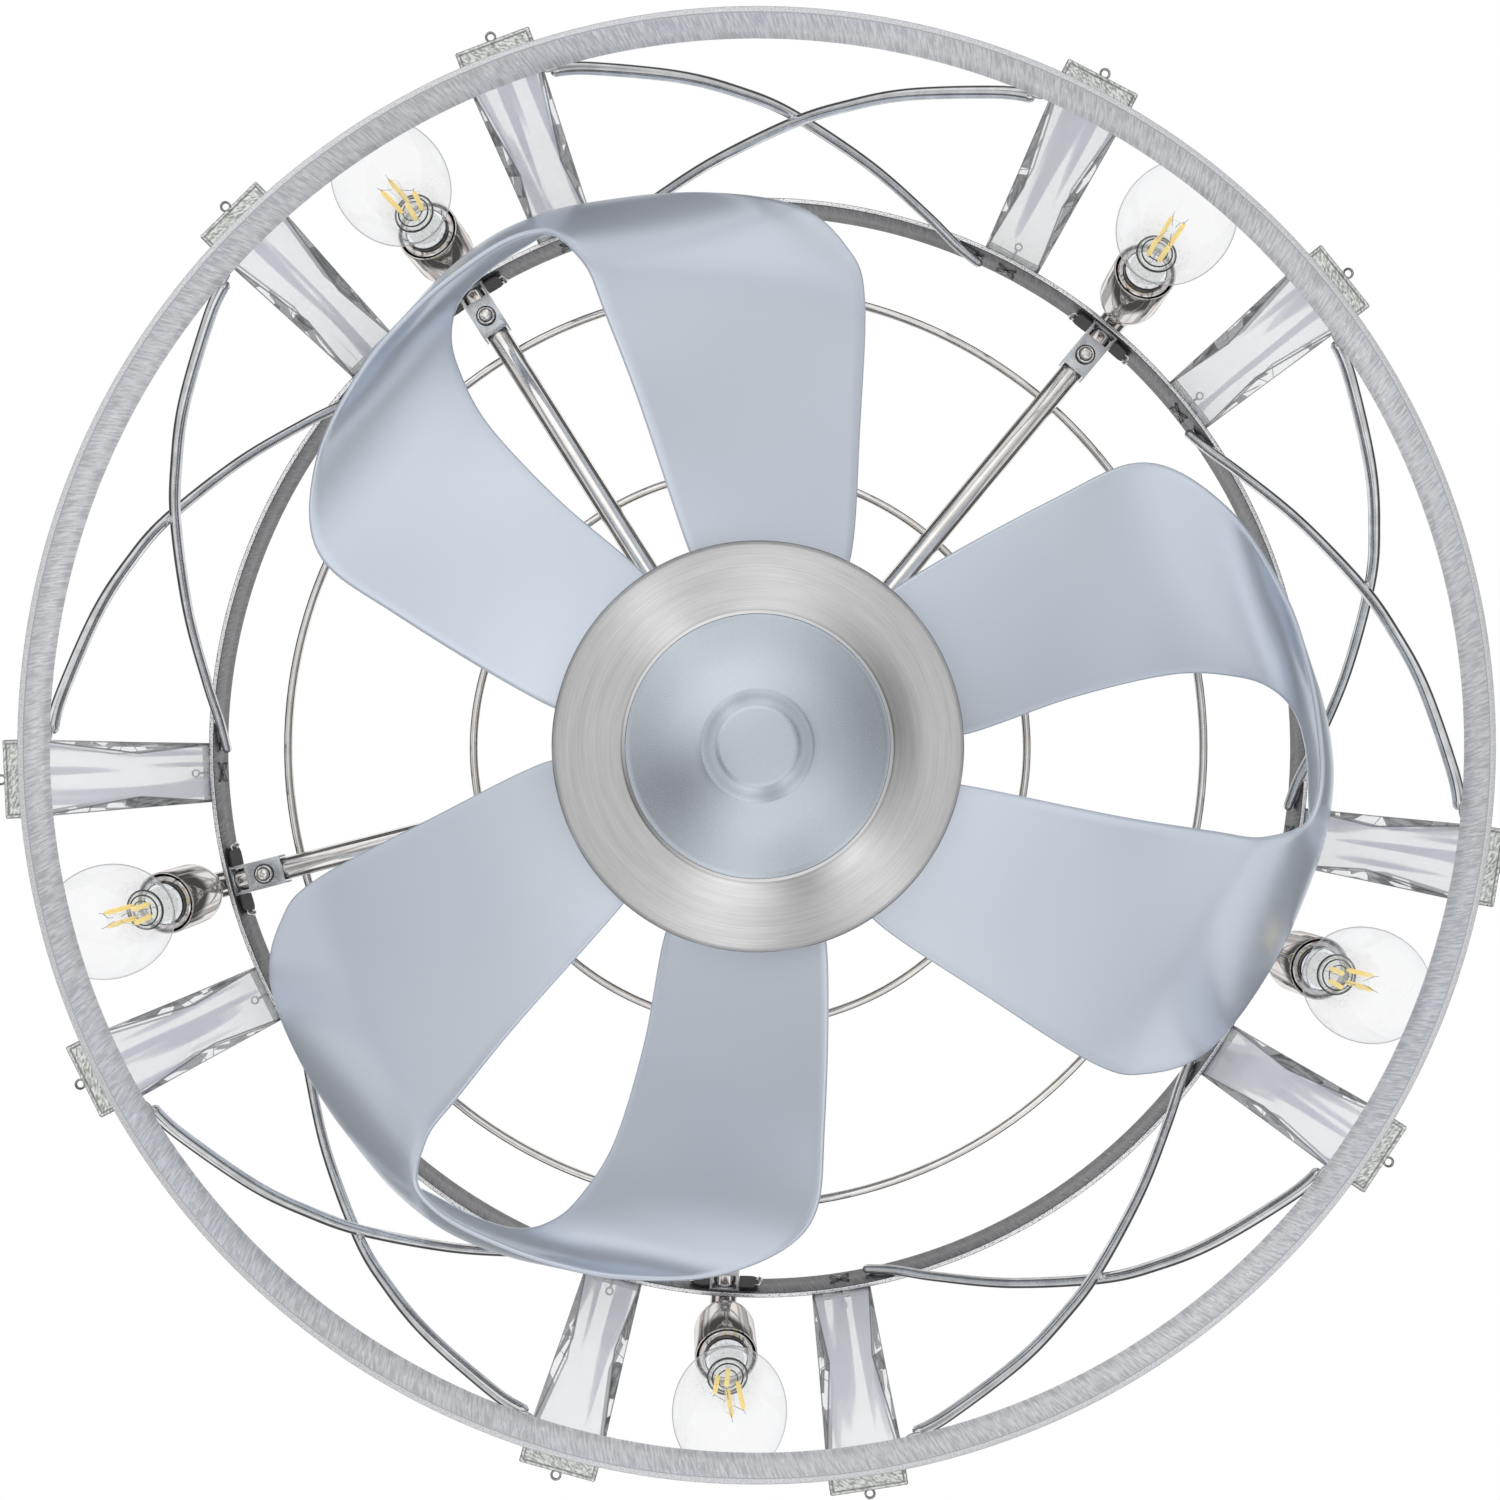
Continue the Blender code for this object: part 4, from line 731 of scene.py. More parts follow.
arm = {"inner": 0.030, "outer": 0.2311, "bore": 0.0036, "ease": 0.0003}
guards = {
    "radius": 0.0018, "outer": 0.2053, "outerShift": 0.006, "inner": 0.1241, "innerShift": 0.004,
    "bead": (0.0022, 0.0026, 0.0008),
}
armHub = {
    "radius": 0.050, "bore": 0.0163, "deep": 0.0083, "ease": 0.0012,
    "collar": ((0.0054, 0.0495), (0.0074, 0.0495), (0.0074, 0.0525), (0.0068, 0.0532), (0.0054, 0.0532)),
}


def armMesh():
    r, low, high, e = layout["armRadius"], arm["inner"], arm["outer"], arm["ease"]
    profile = [
        (r - e, high), (r, high - e), (r, low + e), (r - e, low), (arm["bore"], low), (arm["bore"], high),
    ]
    return lathe(profile, 40, alongX(layout["armZ"]), closed=True)


def guardMesh(radius, shift):
    shape = bmesh.new()
    wire = guards["radius"]
    height = layout["armZ"] + layout["armRadius"] + layout["gap"] + wire
    tube(shape, circle(radius, height, 192, -shift), wire, 16, looped=True)
    for index in range(layout["arms"]):  # a weld bead where the wire rests on each arm
        turn = armTurn(index)
        centre = (radius - shift * math.cos(turn), 0.0, height - wire)
        blob(shape, centre, guards["bead"], Matrix.Rotation(turn, 4, "Z"))
    return toMesh(shape)


def armHubMesh():
    low, high = levels("arm_hub")
    r, bore, e = armHub["radius"], armHub["bore"], armHub["ease"]
    profile = [
        (0.0, high - armHub["deep"]), (bore, high - armHub["deep"]), (bore, high), (r - e, high),
        *arc((r - e, high - e), e, 80.0, 10.0, 3), (r, high - e), (r, low + e / 2), (r - e / 2, low),
        (0.0, low),
    ]
    shape = bmesh.new()
    turned(shape, profile, 120)
    for index in range(layout["arms"]):  # a collar round each arm's socket
        turned(shape, armHub["collar"], 32, alongX(layout["armZ"], armTurn(index)), closed=True)
    return toMesh(shape)


fitRound("arms", armMesh(), "nickel", "nickel", numbered("arm"))
for side in ("outer", "inner"):
    wire = guardMesh(guards[side], guards[side + "Shift"])
    fit(f"{side}Guard", wire, "frame", "nickel", [f"guard_wire_{side}"])
fit("armHub", armHubMesh(), "frame", "nickel", ["arm_hub"])
print("arms and guards done")


# End brackets with their feet, screws and lock washers

bracket = {
    "ease": 0.00022, "half": 0.00638, "wingOuter": 0.2368, "wingThick": 0.0007, "hookInset": 0.0004,
    "hookWire": 0.0005,
    "wing": (  # across the band, half the height
        (0.0065, 0.0048), (0.0067, 0.0052), (0.0095, 0.0053), (0.0125, 0.0051), (0.0140, 0.0042),
        (0.0149, 0.0026),
    ),
    "hook": (  # across the band, inward, up
        (0.0138, 0.0, -0.0026), (0.0152, 0.0002, -0.0032), (0.0163, 0.0012, -0.0022),
        (0.0164, 0.0016, -0.0002), (0.0154, 0.0014, 0.0012), (0.0142, 0.0006, 0.0010),
    ),
}
screw = {
    "place": Matrix.Translation((0.2231, 0.0, -0.0932)), "shank": 0.0021, "shankTop": 0.006, "head": 0.0027,
    "headTop": -0.0007, "headHigh": 0.0020, "slot": (0.0030, 0.00062, 0.0026), "slotTurn": 0.35,
    "washer": 0.00345, "washerWire": 0.00058, "split": 4.0, "washerTop": -0.00045, "washerPitch": 0.00012,
    "shades": ((0.0042, 0.00020, 0.00012), (0.00284, 0.00028, 0.00066)),
}


def endBracketMesh():
    shape = fromNode("end_bracket_1")
    bmesh.ops.transform(shape, verts=shape.verts, matrix=Matrix.Rotation(-armTurn(0), 4, "Z"))
    for side in (-1.0, 1.0):  # the foot's ends are made apart, in black
        cut = bmesh.ops.bisect_plane(
            shape, geom=[*shape.verts, *shape.edges, *shape.faces],
            plane_co=(0.0, side * bracket["half"], 0.0), plane_no=(0.0, side, 0.0), clear_outer=True,
        )
        rims = [item for item in cut["geom_cut"] if isinstance(item, bmesh.types.BMEdge)]
        bmesh.ops.edgenet_fill(shape, edges=rims)
    bevelled(shape, bracket["ease"], 40.0)
    return toMesh(shape, 38.0)


def footMesh():  # two blackened wings on the band, beside the channel
    shape = bmesh.new()
    outer = bracket["wingOuter"]
    back = outer - bracket["wingThick"]
    for side in (-1.0, 1.0):
        rows = []
        for across, rise in bracket["wing"]:
            corners = ((back, -rise), (outer, -rise), (outer, rise), (back, rise))
            rows.append([polar(r, side * across / outer, layout["armZ"] + z) for r, z in corners])
        skin(shape, rows)
    return toMesh(shape, 30.0)


def hookMesh():  # a curled bright tab at each wing's tip
    shape = bmesh.new()
    outer = bracket["wingOuter"] - bracket["hookInset"]
    for side in (-1.0, 1.0):
        points = [
            polar(outer - inward, side * across / outer, layout["armZ"] + z)
            for across, inward, z in bracket["hook"]
        ]
        tube(shape, smoothThrough(points, 5), bracket["hookWire"], 10, squash=0.8)
    return toMesh(shape, 40.0)


def crossHeadMesh():  # pan head with a cross recess, pointing down, on a split washer
    r, h, top, shank = screw["head"], screw["headHigh"], screw["headTop"], screw["shank"]
    dome = [
        (0.0, screw["shankTop"]), (shank, screw["shankTop"]), (shank, top), (r - 0.0002, top),
        (r, top - 0.0003), (r, top - h * 0.35),
    ]
    for i in range(1, 9):
        a = math.radians(90.0 * i / 8)
        dome.append((r * math.cos(a) ** 0.8 if i < 8 else 0.0, top - h * 0.35 - h * 0.65 * math.sin(a)))
    head = linked("head", lathe(dome, 48))
    shape = bmesh.new()
    for turn in (screw["slotTurn"], screw["slotTurn"] + math.pi / 2):
        place = Matrix.Translation(up(top - h)) @ Matrix.Rotation(turn, 4, "Z")
        bmesh.ops.create_cube(shape, size=1.0, matrix=place @ Matrix.Diagonal((*screw["slot"], 1.0)))
    cross = linked("cross", toMesh(shape))
    cut = head.modifiers.new("cross", "BOOLEAN")
    cut.operation = "DIFFERENCE"
    cut.solver = "EXACT"
    cut.use_self = True
    cut.object = cross
    shape = bmesh.new()
    shape.from_mesh(modified(head, cross))
    split = screw["split"]
    washer = []
    for i in range(45):  # the lock washer, one turn with a split
        turn = math.radians(split + (360.0 - 2 * split) * i / 44)
        washer.append(polar(screw["washer"], turn, screw["washerTop"] - screw["washerPitch"] * i / 44))
    tube(shape, washer, screw["washerWire"], 10, squash=0.6)
    return toMesh(shape, 35.0, screw["place"])


def screwShadeMesh():  # black rings painted as the shade in the gaps round the lock washer and under the screw's head
    shape = bmesh.new()
    for radius, wire, drop in screw["shades"]:
        tube(shape, circle(radius, -drop, 36), wire, 6, looped=True)
    return toMesh(shape, 60.0, screw["place"])


fitRound("endBrackets", endBracketMesh(), "plate", "steel", numbered("end_bracket"))
fitRound("feet", footMesh(), "black", "dark_steel")
fitRound("footHooks", hookMesh(), "nickel", "nickel")
fitRound("screwShades", screwShadeMesh(), "black", "dark_steel")
fitRound("bracketScrews", crossHeadMesh(), "nickel", "nickel")
print("end brackets done")


# Lamp holders and lamps

holder = {
    "reach": 0.0073, "reachShares": (0.85, 1.0, 1.0, 1.0, 1.0), "tilts": (4.5, 8.0, 10.5, 10.8, 10.0),
    "leans": (-1.2, -5.0, -3.2, -3.0, -4.5), "neck": 0.00575, "cup": 0.013, "wall": 0.0008, "long": 0.0335,
    "shoulder": (0.0085, 0.0175), "sleeve": 0.0112, "lip": 0.0090, "recess": 0.0015, "groove": 0.0085,
    "grooveShade": 0.00008, "bore": 0.0062, "deep": 0.017, "nipple": 0.003,
}
nut = {"corner": 0.0050, "flat": 0.0047, "ease": 0.0003, "out": 0.2366, "long": 0.0052, "sides": 48}
lamp = {
    "ball": 0.0222, "drop": 0.0315, "join": 48.0, "collar": 0.0085, "collarHigh": 0.0022, "neck": 0.0086,
    "seal": 0.0005, "thread": 0.0058, "threadDeep": 0.00035, "threadLong": 0.0125, "turns": 5,
    "face": -holder["long"] + holder["recess"] - layout["gap"],
}
lamp["centre"] = -holder["long"] + holder["wall"] - lamp["drop"]
lamp["rim"] = lamp["face"] - lamp["collarHigh"]
stem = {
    "turns": (0.5, 0.15, 0.9, 0.3, 0.7), "out": 0.0042, "spread": 0.0024, "long": 0.0128, "sway": 0.16,
    "lean": 0.0014, "strand": 0.00098, "strandEnd": 0.0005, "bridge": 0.00016, "footWire": 0.0002,
    "tipWire": 0.00014, "lead": 0.00025, "leadOut": 0.0012, "base": lamp["rim"] - 0.0120,
    "flare": ((0.0072, -0.0006), (0.0068, -0.0035), (0.0058, -0.0060)),  # radius, height over the lamp's rim
    "tip": (  # radius, height over the base
        (0.0062, 0.0026), (0.0078, 0.0016), (0.0080, 0.0010), (0.0064, 0.0006), (0.0034, -0.0004),
        (0.0023, -0.0022), (0.0019, -0.0060), (0.0018, -0.0120), (0.0023, -0.0142), (0.0026, -0.0156),
        (0.0021, -0.0170), (0.0010, -0.0178), (0.0, -0.0180),
    ),
    "rings": ((0.0079, 0.0013, 0.00042), (0.0062, 0.0005, 0.0003), (0.0040, -0.0003, 0.0002)),
}


def holderReach(index):
    return layout["hoopRadius"] + holder["reach"] * holder["reachShares"][index]


def holderMatrix(index):
    tilt = Euler((math.radians(holder["leans"][index]), -math.radians(holder["tilts"][index]), 0.0))
    place = Matrix.Translation((holderReach(index), 0.0, layout["armZ"]))
    return Matrix.Rotation(armTurn(index), 4, "Z") @ place @ tilt.to_matrix().to_4x4()


def shoulderPoints(steps=12):
    start, end = holder["shoulder"]
    flare = holder["cup"] - holder["neck"]
    points = []
    for i in range(steps + 1):
        a = math.pi / 2 * i / steps
        down = 0.5 * (1 - math.cos(a)) + 0.5 * i / steps
        points.append((holder["neck"] + flare * math.sin(a), -start - (end - start) * down))
    return points


def cupMesh(index):
    r, low, neck = holder["cup"], -holder["long"], holder["neck"]
    inner = r - holder["wall"]
    sleeve, lip, bore = holder["sleeve"], holder["lip"], holder["bore"]
    face = low + holder["recess"]
    profile = [
        *reversed(arc((0.0, 0.0), neck, 0.0, 90.0, 6)), (neck, -0.0076), (neck + 0.0004, -0.0079),
        (neck + 0.0004, -0.0083), *shoulderPoints(), (r, low + 0.0003), (r - 0.0002, low),
        (inner + 0.0002, low), (inner, low + 0.0003), (inner, low + holder["groove"]),
        (sleeve, low + holder["groove"]), (sleeve, low + 0.0006), (sleeve - 0.0004, low + 0.0002),
        (lip + 0.0004, low + 0.0002), (lip, low + 0.0006), (lip, face), (bore + 0.0005, face),
        (bore, face + 0.0005), (bore, face + holder["deep"]), (0.0, face + holder["deep"]),
    ]
    shape = bmesh.new()
    turned(shape, profile, 72, holderMatrix(index))
    across = alongX(layout["armZ"], armTurn(index))
    reach = holderReach(index)
    start = layout["hoopRadius"] + layout["gap"]
    near = nut["out"] - nut["long"]
    nipple = holder["nipple"]
    stub = [
        (0.0, reach), (neck, reach), (neck, start + 0.0003), (neck - 0.0003, start), (nipple, start),
        (nipple, near - 0.0008), (0.0, near - 0.001),
    ]
    turned(shape, stub, 48, across)
    nutRing(shape, across, near)
    return toMesh(shape, 36.0)


def nutRing(shape, matrix, near):  # a hexagon nut with rounded corners and chamfered faces
    rows = []
    far, ease, flat = nut["out"], nut["ease"], nut["flat"]
    for height, widest in ((far, flat), (far - ease, 1.0), (near + ease, 1.0), (near, flat)):
        row = []
        for i in range(nut["sides"]):
            a = math.tau * i / nut["sides"]
            side = flat / math.cos((a + math.pi / 6) % (math.pi / 3) - math.pi / 6)
            row.append(matrix @ polar(min(side, nut["corner"], widest), a, height))
        rows.append(row)
    skin(shape, rows)


def grooveShadeMesh(index):  # a black liner painted as the shade in the gap between cup and sleeve
    e = holder["grooveShade"]
    top = -holder["long"] + holder["groove"]
    low = -holder["long"] + 0.0026
    inner, outer = holder["sleeve"] + e, holder["cup"] - holder["wall"] - e
    section = [
        (inner, low), (inner, top - e), (outer, top - e), (outer, low), (outer - e, low),
        (outer - e, top - 2 * e), (inner + e, top - 2 * e), (inner + e, low),
    ]
    return lathe(section, 64, holderMatrix(index), closed=True, sharp=36.0)


def bulbOutline():
    rim, centre, ball, neck = lamp["rim"], lamp["centre"], lamp["ball"], lamp["neck"]
    a = math.radians(lamp["join"])
    join = (ball * math.cos(a), centre + ball * math.sin(a))
    bend = (join[0] - 0.0052 * math.sin(a), join[1] + 0.0052 * math.cos(a))
    throat = bezier((neck, rim), (neck + 0.0002, rim - 0.0058), bend, join, 12)
    return throat + arc((0.0, centre), ball, lamp["join"], -90.0, 40)[1:-1] + [(0.0, centre - ball)]


def spinMaps(shape, index):  # where each corner lies round the lamp, and how far down from its neck
    back = holderMatrix(index).inverted()
    for name in ("spin", "drop"):
        shape.loops.layers.uv.new(name)
    spin, drop = shape.loops.layers.uv["spin"], shape.loops.layers.uv["drop"]
    for face in shape.faces:
        for loop in face.loops:
            p = back @ loop.vert.co
            reach = max(math.hypot(p.x, p.y), 1e-6)
            loop[spin].uv = (p.x / reach, p.y / reach)
            loop[drop].uv = (lamp["rim"] - p.z, reach)


def bulbGlassMesh(index):
    shape = bmesh.new()
    turned(shape, [(0.0, lamp["rim"] - 0.0001)] + bulbOutline(), 96, holderMatrix(index))
    spinMaps(shape, index)
    return toMesh(shape, 60.0)


def bulbBaseMesh(index):
    face, r = lamp["face"], lamp["thread"]
    top = face + holder["deep"] - layout["gap"]
    profile = [(0.0, top), (0.0032, top), (0.0036, top - 0.0012), (r - 0.0006, top - 0.003)]
    steps = lamp["turns"] * 4
    for i in range(steps + 1):  # the screw base's rolled thread
        dent = lamp["threadDeep"] * (1 - math.cos(math.pi * i / 2))
        profile.append((r - dent, top - 0.0035 - lamp["threadLong"] * i / steps))
    low = lamp["rim"] + lamp["seal"] + 0.0001
    profile += [(r, face), (lamp["collar"], face), (lamp["collar"], low), (0.0, low)]
    return lathe(profile, 64, holderMatrix(index), sharp=36.0)


def bulbSealMesh(index):  # the cement that holds the glass in its base
    rim, collar = lamp["rim"], lamp["collar"]
    top = rim + lamp["seal"]
    return lathe([(0.0, top), (collar, top), (collar, rim), (0.0, rim)], 64, holderMatrix(index), sharp=36.0)


def filamentRuns(index):
    base = stem["base"]
    runs = []
    for k in range(4):
        way = 1 if k % 2 else -1
        a = stem["turns"][index] + math.pi / 2 * k + stem["sway"] * way
        side = polar(stem["lean"] * way, a + math.pi / 2)
        first = polar(stem["out"], a, base)
        last = polar(stem["out"] + stem["spread"], a, base - stem["long"]) + side
        runs.append((first, last))
    return runs


def stemMesh(index):
    rim = lamp["rim"]
    outside = [(r, rim + z) for r, z in stem["flare"]] + [(r, stem["base"] + z) for r, z in stem["tip"]]
    profile = [(max(p.x, 0.0), p.y) for p in smoothThrough([Vector(point) for point in outside], 3)]
    shape = bmesh.new()
    turned(shape, [(0.0, rim - 0.0006)] + profile, 40, holderMatrix(index))
    spinMaps(shape, index)
    return toMesh(shape, 50.0)


def stemShadeRingMesh(index):  # the thick rolled edges of the stem's flare and a ring at the seal, in black as painted shade: they only look dark from below
    shape = bmesh.new()
    base = stem["base"]
    atSeal = (0.0087, lamp["rim"] + 0.0002 - base, 0.0003)
    for radius, lift, wire in (atSeal, *stem["rings"]):
        tube(shape, circle(radius, base + lift, 40), wire, 6, looped=True)
    return toMesh(shape, 60.0, holderMatrix(index))


def filamentMesh(index):
    shape = bmesh.new()
    sizes = [stem["strandEnd"]] + [stem["strand"]] * 9 + [stem["strandEnd"]]
    for first, last in filamentRuns(index):
        tube(shape, [first.lerp(last, i / 10) for i in range(11)], sizes, 10)
    return toMesh(shape, 40.0, holderMatrix(index))


def stemWireMesh(index):
    shape = bmesh.new()
    base = stem["base"]
    bead = up(base - stem["long"] - 0.0012)
    for k, (first, last) in enumerate(filamentRuns(index)):
        out = outward(last)
        over = last + up(-0.0008)
        bend = bead + out * 0.0030 + up(0.0002 if k % 2 else -0.0016)
        foot = out * 0.0032 + up(base + 0.0010)
        tip = out * 0.0016 + up(-0.0020)
        tube(shape, [last, over, bend, bead + out * 0.0018], stem["bridge"], 6)
        tube(shape, [first, (first + foot) / 2 + out * 0.0003, foot], stem["footWire"], 6)
        tube(shape, [over, over + tip * 0.6], stem["tipWire"], 6)
    for x in (-stem["leadOut"], stem["leadOut"]):
        tube(shape, [Vector((x, 0.0, base + 0.010)), Vector((x, 0.0, base - 0.001))], stem["lead"], 6)
    return toMesh(shape, 40.0, holderMatrix(index))


lampParts = (  # name, maker, finish, slot
    ("bulbBase", bulbBaseMesh, "case", "nickel"), ("bulbSeal", bulbSealMesh, "seal", "clear_glass"),
    ("bulbStem", stemMesh, "stemGlass", "clear_glass"), ("stemRings", stemShadeRingMesh, "black", "dark_steel"),
    ("filaments", filamentMesh, "phosphor", "clear_glass"), ("stemWires", stemWireMesh, "chrome", "nickel"),
)
for index in range(layout["arms"]):
    number = index + 1
    body = f"lamp_{number}"
    fit(f"lampHolder{number}", cupMesh(index), "frame", "cup", [f"lamp_holder_{number}"])
    fit(f"holderGroove{number}", grooveShadeMesh(index), "frame", "black")
    fit(f"bulbGlass{number}", bulbGlassMesh(index), body, "bulbGlass", [f"bulb_{number}"])
    for name, maker, finish, slot in lampParts:
        fit(f"{name}{number}", maker(index), body, finish)
print("lamps done")


# Glass bars, cut in at the waist, with their pins

bar = {
    "wide": 0.026, "thick": 0.008, "pinch": 0.0045, "pinchDeep": 0.0028, "topInset": 0.002,
    "bottomInset": 0.0055, "angles": (11.7, -12.3), "ease": 0.00035,
}
pin = {
    "radius": 0.00055, "eye": 0.0015, "eyeWire": 0.0004, "legs": 0.0042, "legRise": 0.0036,
    "legWire": 0.00042, "bead": (0.0007, 0.0011, 0.0011), "topLift": 0.0012, "bottomDrop": 0.0002,
}


def barLevels():
    half = layout["hoopHeight"] / 2
    return layout["topZ"] + half - bar["topInset"], layout["bottomZ"] - half + bar["bottomInset"]


def barMesh():
    half = bar["wide"] / 2
    narrow = half - bar["pinch"]
    top, bottom = barLevels()
    middle = (top + bottom) / 2
    inner = layout["hoopRadius"] + layout["gap"]
    outer = inner + bar["thick"]
    inset = bar["pinchDeep"]
    corners = [(inner, -half), (inner, half), (outer, half), (outer, -half)]
    waistPoints = [
        (inner, -narrow), (inner, narrow), (inner + inset, half), (outer - inset, half),
        (outer, narrow), (outer, -narrow), (outer - inset, -half), (inner + inset, -half),
    ]
    shape = bmesh.new()
    waist = [shape.verts.new((x, y, middle)) for x, y in waistPoints]
    for level in (top, bottom):
        ring = [shape.verts.new((x, y, level)) for x, y in corners]
        for corner in range(4):
            side = 2 * corner
            shape.faces.new((ring[corner], waist[side - 1], waist[side]))
            shape.faces.new((ring[corner], waist[side], waist[side + 1], ring[(corner + 1) % 4]))
        shape.faces.new(ring)
    eased = bevelled(shape, bar["ease"], 4.0)
    shape.normal_update()
    for name in ("bar", "kind"):
        shape.loops.layers.uv.new(name)
    spot, kind = shape.loops.layers.uv["bar"], shape.loops.layers.uv["kind"]
    for face in shape.faces:
        sort = 1.0 if abs(face.normal.z) > 0.9 else 0.0 if abs(face.normal.x) > 0.97 else 0.5
        rim = 1.0 if face in eased else 0.0
        for loop in face.loops:
            p = loop.vert.co
            loop[spot].uv = (p.y + (p.x - inner) * (sort > 0.0), p.x if sort == 1.0 else p.z)
            loop[kind].uv = (sort, rim)
    return toMesh(shape, 12.0)


def pinMesh():  # one pin near each end: an eye outside the glass, two legs spread on the band
    shape = bmesh.new()
    inner = layout["hoopRadius"] - layout["hoopWall"]
    outer = layout["hoopRadius"] + layout["gap"] + bar["thick"]
    eye = pin["eye"]
    ends = ((layout["topZ"] + pin["topLift"], pin["legs"]), (layout["bottomZ"] - pin["bottomDrop"], 0.0))
    for level, spread in ends:
        start = inner - 0.0008 if spread else layout["hoopRadius"] + 0.00005
        tube(shape, [Vector((start, 0.0, level)), Vector((outer + 0.0004, 0.0, level))], pin["radius"], 12)
        tube(shape, circle(eye, level, 20, outer + eye + 0.0002), pin["eyeWire"], 8, looped=True)
        if not spread:
            continue
        blob(shape, (inner - 0.0005, 0.0, level), pin["bead"])
        for side, lift in ((-1.0, -1.0), (-1.0, 1.0), (1.0, -1.0), (1.0, 1.0)):
            points = [
                Vector((inner - 0.0006, 0.0, level)),
                Vector((inner - 0.0007, side * spread * 0.5, level + lift * 0.0016)),
                Vector((inner - 0.0004, side * spread, level + lift * pin["legRise"])),
            ]
            tube(shape, points, pin["legWire"], 8, squash=0.7)
    return toMesh(shape, 40.0)


barShape, pinShape = barMesh(), pinMesh()
for side, angle, first in zip(("Left", "Right"), bar["angles"], (1, 2)):
    phase = layout["armPhase"] + math.radians(angle)
    nodes = numbered("glass_bar", range(first, 11, 2))
    fitRound(f"glassBars{side}", barShape, "barGlass", "clear_glass", nodes, phase=phase)
    fitRound(f"barPins{side}", pinShape, "pin", "rod_chrome", phase=phase)
print("glass bars done")


# Crossed rods, welded to both hoops and to each other

rods = {
    "radius": 0.002, "bow": 0.00205, "weld": 0.0006, "topInset": 0.006, "spread": math.radians(21.5),
    "turn": math.radians(-0.6), "endTilt": 0.85, "topWeld": (0.0009, 0.0024, 0.0015),
    "lowWeld": (0.0013, 0.0034, 0.0009), "crossWeld": (0.0014, 0.0018, 0.0026),
}
rodRows = (  # share of the drop, of the spread, of the way onto the bottom hoop and of the bow
    (0.000, -1.00, 0.0, 0.0), (0.060, -0.86, 0.0, 0.0), (0.154, -0.67, 0.3, 0.3),
    (0.333, -0.36, 0.7, 0.7), (0.547, 0.00, 1.0, 1.0), (0.680, 0.23, 1.0, 0.9),
    (0.803, 0.46, 1.0, 0.6), (0.949, 0.79, 1.0, 0.2), (1.000, 0.93, 1.0, 0.0),
)


def rodPoints(mirror, bow):
    half = layout["hoopHeight"] / 2
    top = layout["topZ"] + half - rods["topInset"]
    bottom = layout["bottomZ"] + half + layout["gap"] + rods["radius"] * rods["endTilt"]
    seat = layout["hoopRadius"] - layout["hoopWall"] - layout["gap"] - rods["radius"]
    out = layout["hoopRadius"] - layout["hoopWall"] / 2 - seat
    points = [
        polar(seat + out * way + bow * bend, mirror * spread * rods["spread"], top + (bottom - top) * drop)
        for drop, spread, way, bend in rodRows
    ]
    return smoothThrough(points, 8)


def rodCrossMesh():
    shape = bmesh.new()
    back = rods["bow"] + 2 * rods["radius"] - rods["weld"]
    for mirror, bow in ((1.0, rods["bow"]), (-1.0, back)):
        points = rodPoints(mirror, bow)
        sizes = [rods["radius"]] * len(points)
        sizes[0] = sizes[-1] = rods["radius"] * 0.72
        tube(shape, points, sizes, 20)
        first, last = points[0], points[-1]
        bead = outward(first) * (rods["radius"] * 0.75)
        low = last - up(rods["radius"] * 0.75)
        for spot, end, size in (
            (points[2] + bead, first, rods["topWeld"]), (points[9] + bead, first, rods["topWeld"]),
            (low, last, rods["lowWeld"]),
        ):
            turn = math.atan2(end.y, end.x)
            blob(shape, (0.0, 0.0, 0.0), size, Matrix.Translation(spot) @ Matrix.Rotation(turn, 4, "Z"))
    crossing = rodPoints(1.0, (rods["bow"] + back) / 2)[32]
    blob(shape, crossing, rods["crossWeld"])
    return toMesh(shape, 50.0)


crossPhase = layout["armPhase"] + math.pi / layout["arms"] + rods["turn"]
fitRound("rodCrosses", rodCrossMesh(), "chrome", "rod_chrome", numbered("rod_cross"), phase=crossPhase)
print("rods done")


# Canopy, hanger and ceiling bracket

canopy = {"radius": 0.070, "wall": 0.0012, "high": 0.045, "corner": 0.007, "top": -0.0006, "hole": 0.0163}
hanger = {
    "top": -0.0023, "bottom": -0.084, "flange": 0.028, "flangeThick": 0.003, "radius": 0.016,
    "fillet": 0.0015, "bore": 0.0125, "ease": 0.0003,
}
sideScrew = {"z": -0.012, "head": 0.004, "headHigh": 0.0022, "shank": 0.002, "long": 0.011, "recess": 0.0022}


def canopyMesh():
    r, wall, corner, hole, top = (canopy[name] for name in ("radius", "wall", "corner", "hole", "top"))
    bottom = top - canopy["high"]
    centre = (r - corner, bottom + corner)
    profile = [
        (r - 0.0004, top), (r, top - 0.0004), *arc(centre, corner, 0.0, -90.0, 10), (hole + 0.0004, bottom),
        (hole, bottom + 0.0004), (hole, bottom + wall), *arc(centre, corner - wall, -90.0, 0.0, 10),
        (r - wall, top),
    ]
    return lathe(profile, 144, closed=True, sharp=30.0)


def hangerMesh():
    top, bottom, wide, r, e = (hanger[name] for name in ("top", "bottom", "flange", "radius", "ease"))
    under = top - hanger["flangeThick"]
    fillet = hanger["fillet"]
    profile = [
        (wide - e, top), (wide, top - e), (wide, under + e), (wide - e, under), (r + fillet, under),
        *arc((r + fillet, under - fillet), fillet, 90.0, 180.0, 4), (r, bottom + 0.0004),
        (r - 0.0004, bottom), (hanger["bore"], bottom), (hanger["bore"], top),
    ]
    return lathe(profile, 72, closed=True, sharp=30.0)


